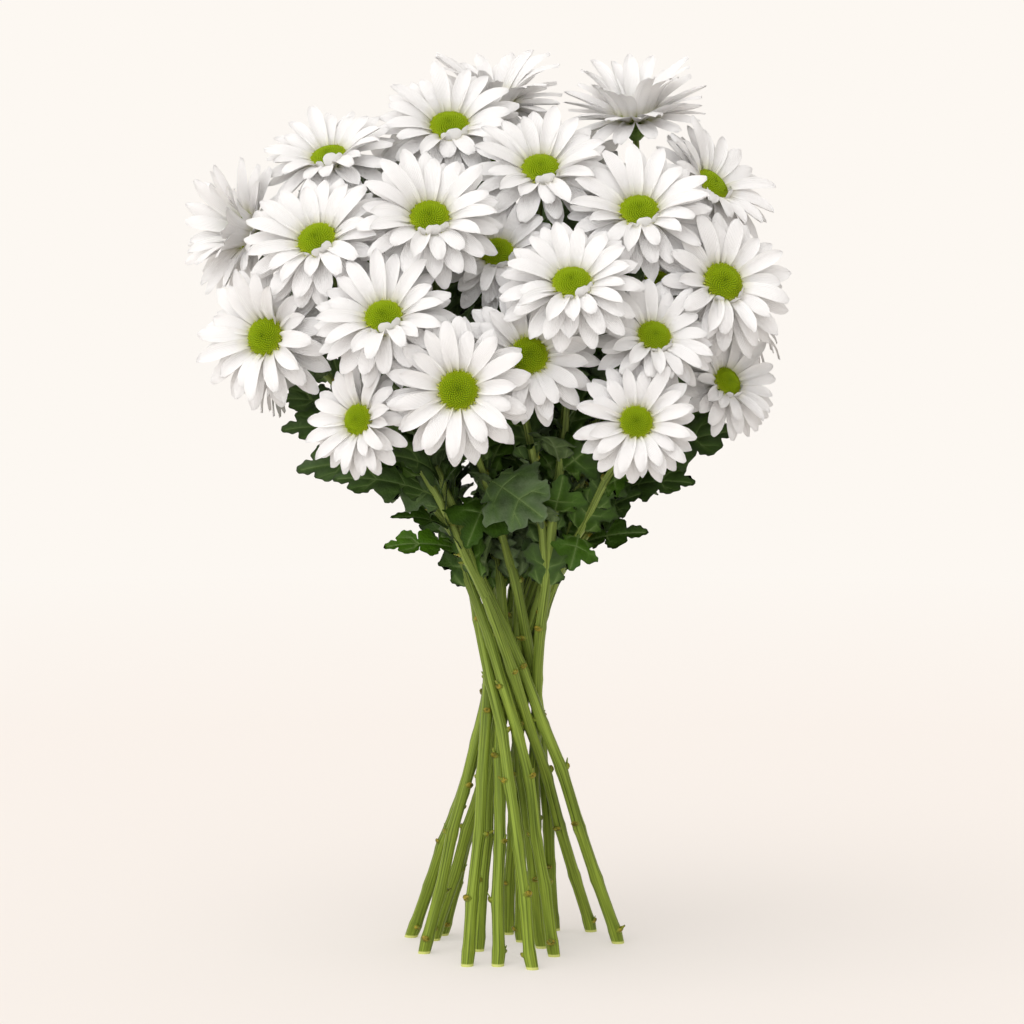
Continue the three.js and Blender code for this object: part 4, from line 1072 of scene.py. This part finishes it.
def leaf_place(entry):
    """Base, direction, upper side, length and width of a leaf, as its solid was bent clear."""
    on, side, step, tip, wide, face, _ = entry
    points = shoots[on][side]["points"]
    at = step + (0 if side else STEM["low"])
    k = math.floor(at)
    base = points[k] + (points[k + 1] - points[k]) * (at - k)
    chord = np.array(tip, float) - base
    length, ahead = np.linalg.norm(chord), unit(chord)
    hint = facing(*face) if face else np.array([0, 0, 1.0])
    up = unit(hint - ahead * (hint @ ahead))
    across, there, found = np.cross(ahead, up), node_mesh(f"stem_{on + 1:02d}")[0], []
    for share, swing, tilt in [(k, s, t) for k in LEAF_LENGTHS for s in LEAF_SWINGS for t in LEAF_TIPS]:
        way, top = turned(turned(ahead, across, tilt), up, swing), turned(up, across, tilt)
        end = base + way * length * share + top * LEAF["thick"] / 2
        miss = np.abs(there - end).max(1).min()
        found.append((miss, (base, way, top, length * share, wide * (0.4 + 0.6 * share))))
    return min(found, key=lambda one: one[0])[1]


def toothed_side(keys, draw, sign):
    """One side of the outline, stalk to tip: lobes that bulge, with pointed teeth."""
    keys = np.array(keys, float)
    path, last = [keys[0], keys[1]], len(keys) - 2
    for k in range(1, last + 1):
        a, b = keys[k : k + 2]
        size = math.hypot(*(b - a))
        out = np.array([b[1] - a[1], a[0] - b[0]]) / size
        to_tip = k % 2 == 1 or k == last  # toward a lobe's tip, or to the leaf's own
        teeth = 1 + to_tip * ((size > TEETH["two"]) + (size > TEETH["three"]))
        for j in range(teeth):
            for at, vary, kick in TOOTH:
                s = (j + at + (vary * draw() if vary else 0)) / teeth
                lift = TEETH["bulge"][to_tip] * size * math.sin(math.pi * s) + kick * size / teeth
                path.append(a + (b - a) * s + out * lift)
        path.append(b)
    cut, share = [path[0]], TEETH["cut"]
    for p, q in zip(path, path[1:]):
        cut += [p + (q - p) * share, q + (p - q) * share]
    return np.array([*cut, path[-1]]) * [sign, 1]


def near_lines(points, lines):
    """Distance of points to the nearest of some segments."""
    best = np.full(len(points), np.inf)
    for a, b in lines:
        d = b - a
        t = np.clip(((points - a) @ d) / max(d @ d, 1e-9), 0, 1)
        best = np.minimum(best, np.linalg.norm(points - a - t[:, None] * d, axis=1))
    return best


def is_inside(points, outline):
    x, y = points[:, 0], points[:, 1]
    odd = np.zeros(len(points), bool)
    for (x1, y1), (x2, y2) in zip(outline, np.roll(outline, -1, axis=0)):
        if y1 != y2:
            odd ^= ((y1 > y) != (y2 > y)) & (x < (x2 - x1) * (y - y1) / (y2 - y1) + x1)
    return odd


def leaf_lines(length, wide, draw):
    """Outline of one flat leaf, and its veins as segments: one to each lobe, with two side veins."""
    lobes = LOBES["large" if length > LEAF["large"] else "small"]
    sides, veins = [], []
    for sign in (1, -1):
        half = sign * wide / 2
        keys = [(LEAF["stalk_wide"], 0), (LEAF["stalk_wide"] * 0.8, LEAF["stalk"] * length)]
        for x, y in lobes:
            x, y = x * (1 + LOBE_JITTER[0] * draw()), y + LOBE_JITTER[1] * draw()
            keys.append((x * wide / 2, y * length))
        sides.append(toothed_side([*keys, (0.0, length)], draw, sign))
        for x, y in lobes[::2]:
            root = np.array([0, max(0.14, y - 0.2) * length])
            tip = np.array([x * half * 0.9, y * length * 0.99])
            knee = (root + tip) / 2 - [0, 0.02 * length]
            veins += [(root, knee), (knee, tip)]
            for aim in ((x * 0.86, y - 0.07), (x * 0.66, y + 0.05)):
                veins.append((knee, np.array([aim[0] * half, aim[1] * length]) * 0.97 + knee * 0.03))
    outline = np.vstack([sides[0], sides[1][::-1][1:]])
    kept = np.linalg.norm(np.diff(outline, axis=0), axis=1) > CLEAR["apart"]
    middle = np.array([[0, y] for y in np.linspace(0.02, 0.96, 16) * length])
    return outline[np.concatenate([[True], kept])], list(zip(middle, middle[1:])) + veins


def flat_leaf(length, wide, draw, grain):
    """Triangles of one flat leaf, with the distance of each point to the veins."""
    outline, veins = leaf_lines(length, wide, draw)
    gx, gy = np.meshgrid(np.arange(-wide * 0.6, wide * 0.6, grain), np.arange(0, length, grain * 0.87))
    gx = gx + (np.arange(len(gx)) % 2)[:, None] * grain / 2
    grid = np.stack([gx.ravel(), gy.ravel()], 1)
    grid = grid[is_inside(grid, outline)]
    edges = list(zip(outline, np.roll(outline, -1, axis=0)))
    grid = grid[(near_lines(grid, edges) > CLEAR["rim"]) & (near_lines(grid, veins) > CLEAR["vein"])]
    coords = [*outline, *grid]
    links = [(i, (i + 1) % len(outline)) for i in range(len(outline))]
    for pair in veins:
        links.append((len(coords), len(coords) + 1))
        coords += pair
    points, _, faces, *_ = geometry.delaunay_2d_cdt([Vector(p) for p in coords], links, [], 1, 1e-4)
    used = sorted({i for f in faces for i in f})
    points = np.array([tuple(points[i]) for i in used])
    renumber = {k: n for n, k in enumerate(used)}
    faces = [tuple(renumber[i] for i in f) for f in faces]
    a, b, c = (points[[f[k] for f in faces]] for k in range(3))
    faces = [f if up > 0 else f[::-1] for f, up in zip(faces, np.cross(b - a, c - a))]
    return points, faces, near_lines(points, veins)


def leaf_lift(x, y, length):
    """Height of a leaf's folded and bowed sheet at x across and a share y along, before its own waves."""
    blade, fold = np.clip((y - LEAF["stalk"]) * 6, 0, 1), math.tan(math.radians(LEAF["fold"]))
    return LEAF["bow"] * length * 4 * y * (1 - y) + np.abs(x) * fold * blade, blade


def leaf_mesh(place, tone, grain, seed):
    """A bent closed leaf: points, faces, sharp edges, face finishes, vein and tone of each point, the tone
    being painted shade on leaves deep inside.
    """
    base, ahead, up, length, wide = place
    draw = draws(seed)
    flat, faces, gap = flat_leaf(length, wide, draw, grain)
    x, y = flat[:, 0], flat[:, 1] / length
    p1, p2, p3 = (draw() * math.pi for _ in range(3))
    lift, blade = leaf_lift(x, y, length)
    # grooves along the veins, edges that curl down, waves along the edges, and a drooping tip
    lift += blade * (0.55 * (1 - np.exp(-((gap / 1.5) ** 2))) - 0.012 * x**2)
    lift += blade * np.abs(x) / (wide / 2) * 1.3 * np.sin(x * 0.32 + p1) * np.sin(y * 9 + p2)
    lift -= 0.05 * length * np.clip(y - 0.75, 0, 1) ** 1.5 * (2 + p3)
    top = base + np.outer(x, np.cross(ahead, up)) + np.outer(flat[:, 1], ahead) + np.outer(lift, up)
    points, both, rim, inner = closed_sheet(top, faces, up * LEAF["sheet"])
    vein = np.exp(-gap / 3) * np.clip(1.35 - np.abs(x) / wide * 2, 0.5, 1)
    vein[[i for i in {i for e in rim for i in e} if y[i] > LEAF["stalk"]]] = 0
    kinds = [0] * len(faces) + [1] * len(faces)
    return points, both, rim, kinds, np.concatenate([vein, vein[inner]]), np.full(len(points), tone)


SCOUT = [(0, 0.16), (0.3, 0.3), (0.54, 0.5), (0.5, 0.72), (0.3, 0.9), (0, 1.04)]  # half widths along a leaf


def scout(place):
    """A coarse sheet a little larger than a leaf, to look for room with."""
    base, ahead, up, length, wide = place
    across, points = np.cross(ahead, up) * wide, []
    for half, y in SCOUT:
        for x in (-half, 0.0, half):
            points.append(base + across * x + ahead * y * length + up * leaf_lift(x * wide, y, length)[0])
    return BVHTree.FromPolygons([tuple(p) for p in points], grid_faces(2, len(SCOUT) - 1))


def deep_places(spot, ahead, sides, turn, size):
    """Places that a leaf at a spot on a route may take, the wanted one first."""
    for share, swing, lean in DEEP_TRIES:
        out = between(*sides, math.radians(turn + swing))
        way = between(ahead, out, math.radians(np.interp(spot[2], *zip(*DEEP_LEAN)) + lean))
        tip = spot + way * size * share
        if math.hypot(tip[0], tip[1]) <= np.interp(tip[2], *zip(*DEEP_WIDTH)):
            yield spot, way, unit(ahead - way * (ahead @ way)), size * share, size * share * DEEP["ratio"]


def deep_leaves(leaves):
    """Leaves along the routes inside the bunch, each where its scout meets no bloom, stem or other leaf."""
    taken = [(place[0], scout(place)) for _, place, *_ in leaves]
    petals = [(h["base"], t) for h, t in bloom_trees]
    found = []
    for n, side in [(n, side) for n in range(len(shoots)) for side in (0, 1)]:
        draw = draws(5000 + 2 * n + side)
        line, at, _ = smooth_route(shoots[n][side]["points"], 1.0)
        ahead, e1, e2 = carried(line)
        stems = [t for k, t in enumerate(stem_trees) if k != n]
        d, turn = 6 + 6 * draw(), draw() * 180
        while d < at[-1] - DEEP["end"]:
            i = int(np.argmin(abs(at - d)))
            turn, size = turn + DEEP["turn"], DEEP["long"] * (1 + 0.3 * draw())
            # leaves deep in the bunch take tones near the dark one at 0.3: painted shade, with a random
            # spread
            tone = 0.22 + 0.16 * draw() + 0.4 * max(0, draw() - 0.6)
            d += DEEP["every"] * (1 + 0.3 * draw())
            if not DEEP["low"] < line[i][2] < DEEP["high"]:
                continue
            for place in deep_places(line[i], ahead[i], (e1[i], e2[i]), turn, size):
                tree = scout(place)
                near = [t for p, t in taken + petals if np.linalg.norm(p - line[i]) < place[3] + 45]
                if not any(tree.overlap(t) for t in near + stems):
                    taken.append((line[i], tree))
                    found.append((n, place, tone, DEEP_GRAIN))
                    break
    return found


grown = [(entry[0], leaf_place(entry), entry[6], LEAF_GRAIN) for entry in LEAVES]
grown += deep_leaves(grown)
for n in range(len(STEMS)):
    made = [leaf_mesh(*leaf, 4000 + k) for k, (on, *leaf) in enumerate(grown) if on == n]
    points, faces, sharp, kinds, total = [], [], set(), [], 0
    for p, f, rim, kind, *_ in made:
        faces += [tuple(i + total for i in face) for face in f]
        sharp |= {(a + total, b + total) for a, b in rim}
        points.append((p + AXIS) * MM)
        kinds += kind
        total += len(p)
    vein, tone = (np.concatenate([one[k] for one in made]) for k in (4, 5))
    mesh = plain_mesh(f"leaves_{n + 1:02d}", np.vstack(points), faces, sharp=sharp, vein=vein, tone=tone)
    mesh.materials.append(LEAF_TOP)
    mesh.materials.append(LEAF_BACK)
    mesh.polygons.foreach_set("material_index", np.array(kinds, np.int32))
    mesh.shade_smooth()
    fit(piece_of(mesh), f"stem_{n + 1:02d}")


# ---- Floor and light --------------------------------------------------------------------------------
# Floor: radius and sides, how far out it is lit and is lost in the air, and how much it glows at least
STAGE = {"radius": 8.0, "sides": 64, "lit": 0.35, "lost": 2.6, "soft": 0.7, "glow": 0.4}
AIR, FLOOR = "FDF8F2", "E6DFDA"
# Brightness of the pale room from left (0) to right (1), even where the camera looks
ROOM = [(0.0, 1.0), (0.6, 1.0), (0.75, 0.6), (1.0, 0.5)]
# A broad window behind the camera: way to it, how much brighter it is than the room, how sharply it ends
WINDOW = {"way": (-0.35, -0.9, 0.35), "bright": 1.42, "edge": 4.0, "colour": "F4F8FF"}
SUN = {"way": (0.3, 0.42, -1.0), "energy": 0.6, "angle": 50, "colour": "FFFDFB"}

world = bpy.data.worlds.new("pale_room")
bpy.context.scene.world = world
world.use_nodes = True
room = world.node_tree
room.nodes.clear()
view = add(room, "TexCoord", out="Generated")
aside = add(room, "MULTIPLY", add(room, "SeparateXYZ", view), 0.5)
aside = add(room, "ADD", aside, 0.5)
bright = add(room, "FloatCurve", inputs={"Value": aside})
line = bright.node.mapping.curves[0].points
line[0].location, line[1].location = ROOM[0], ROOM[-1]
for at, value in ROOM[1:-1]:
    line.new(at, value)
for point in line:
    point.handle_type = "VECTOR"
bright.node.mapping.update()
window = add(room, "VectorMath", view, tuple(unit(WINDOW["way"])), operation="DOT_PRODUCT")
window = add(room, "MAXIMUM", window, 0.0)
window = add(room, "POWER", window, WINDOW["edge"])
window = add(room, "MULTIPLY", window, WINDOW["bright"])
around, window = (add(room, "Background", *light) for light in ((AIR, bright), (WINDOW["colour"], window)))
add(room, "OutputWorld", add(room, "AddShader", around, window))

# Matt paper floor that fades into the pale room
paper, tree = blank("pale_paper_floor")
far = add(tree, "VectorMath", add(tree, "TexCoord", out="Object"), operation="LENGTH")
far = add(tree, "SUBTRACT", far, STAGE["lit"])
fade = add(tree, "DIVIDE", far, STAGE["lost"] - STAGE["lit"], use_clamp=True)
fade = add(tree, "POWER", fade, STAGE["soft"])
fade = add(tree, "MAXIMUM", fade, STAGE["glow"])
sheet, air = add(tree, "BsdfDiffuse", FLOOR), add(tree, "Emission", AIR, 1.0)
add(tree, "OutputMaterial", add(tree, "MixShader", fade, sheet, air))

angles = np.linspace(0, TURN, STAGE["sides"] + 1)[:-1]
ring = [(STAGE["radius"] * math.cos(a), STAGE["radius"] * math.sin(a), 0.0) for a in angles]
floor = plain_mesh("floor", ring, [tuple(range(STAGE["sides"]))])
floor.materials.append(paper)
piece_of(floor)

sun = bpy.data.objects.new("soft_window", bpy.data.lights.new("soft_window", "SUN"))
sun.data.energy, sun.data.angle = SUN["energy"], math.radians(SUN["angle"])
sun.data.color = linear(SUN["colour"])[:3]
sun.rotation_euler = Vector(SUN["way"]).to_track_quat("-Z", "Y").to_euler()
bpy.context.scene.collection.objects.link(sun)
bpy.context.scene.view_settings.view_transform = "Standard"
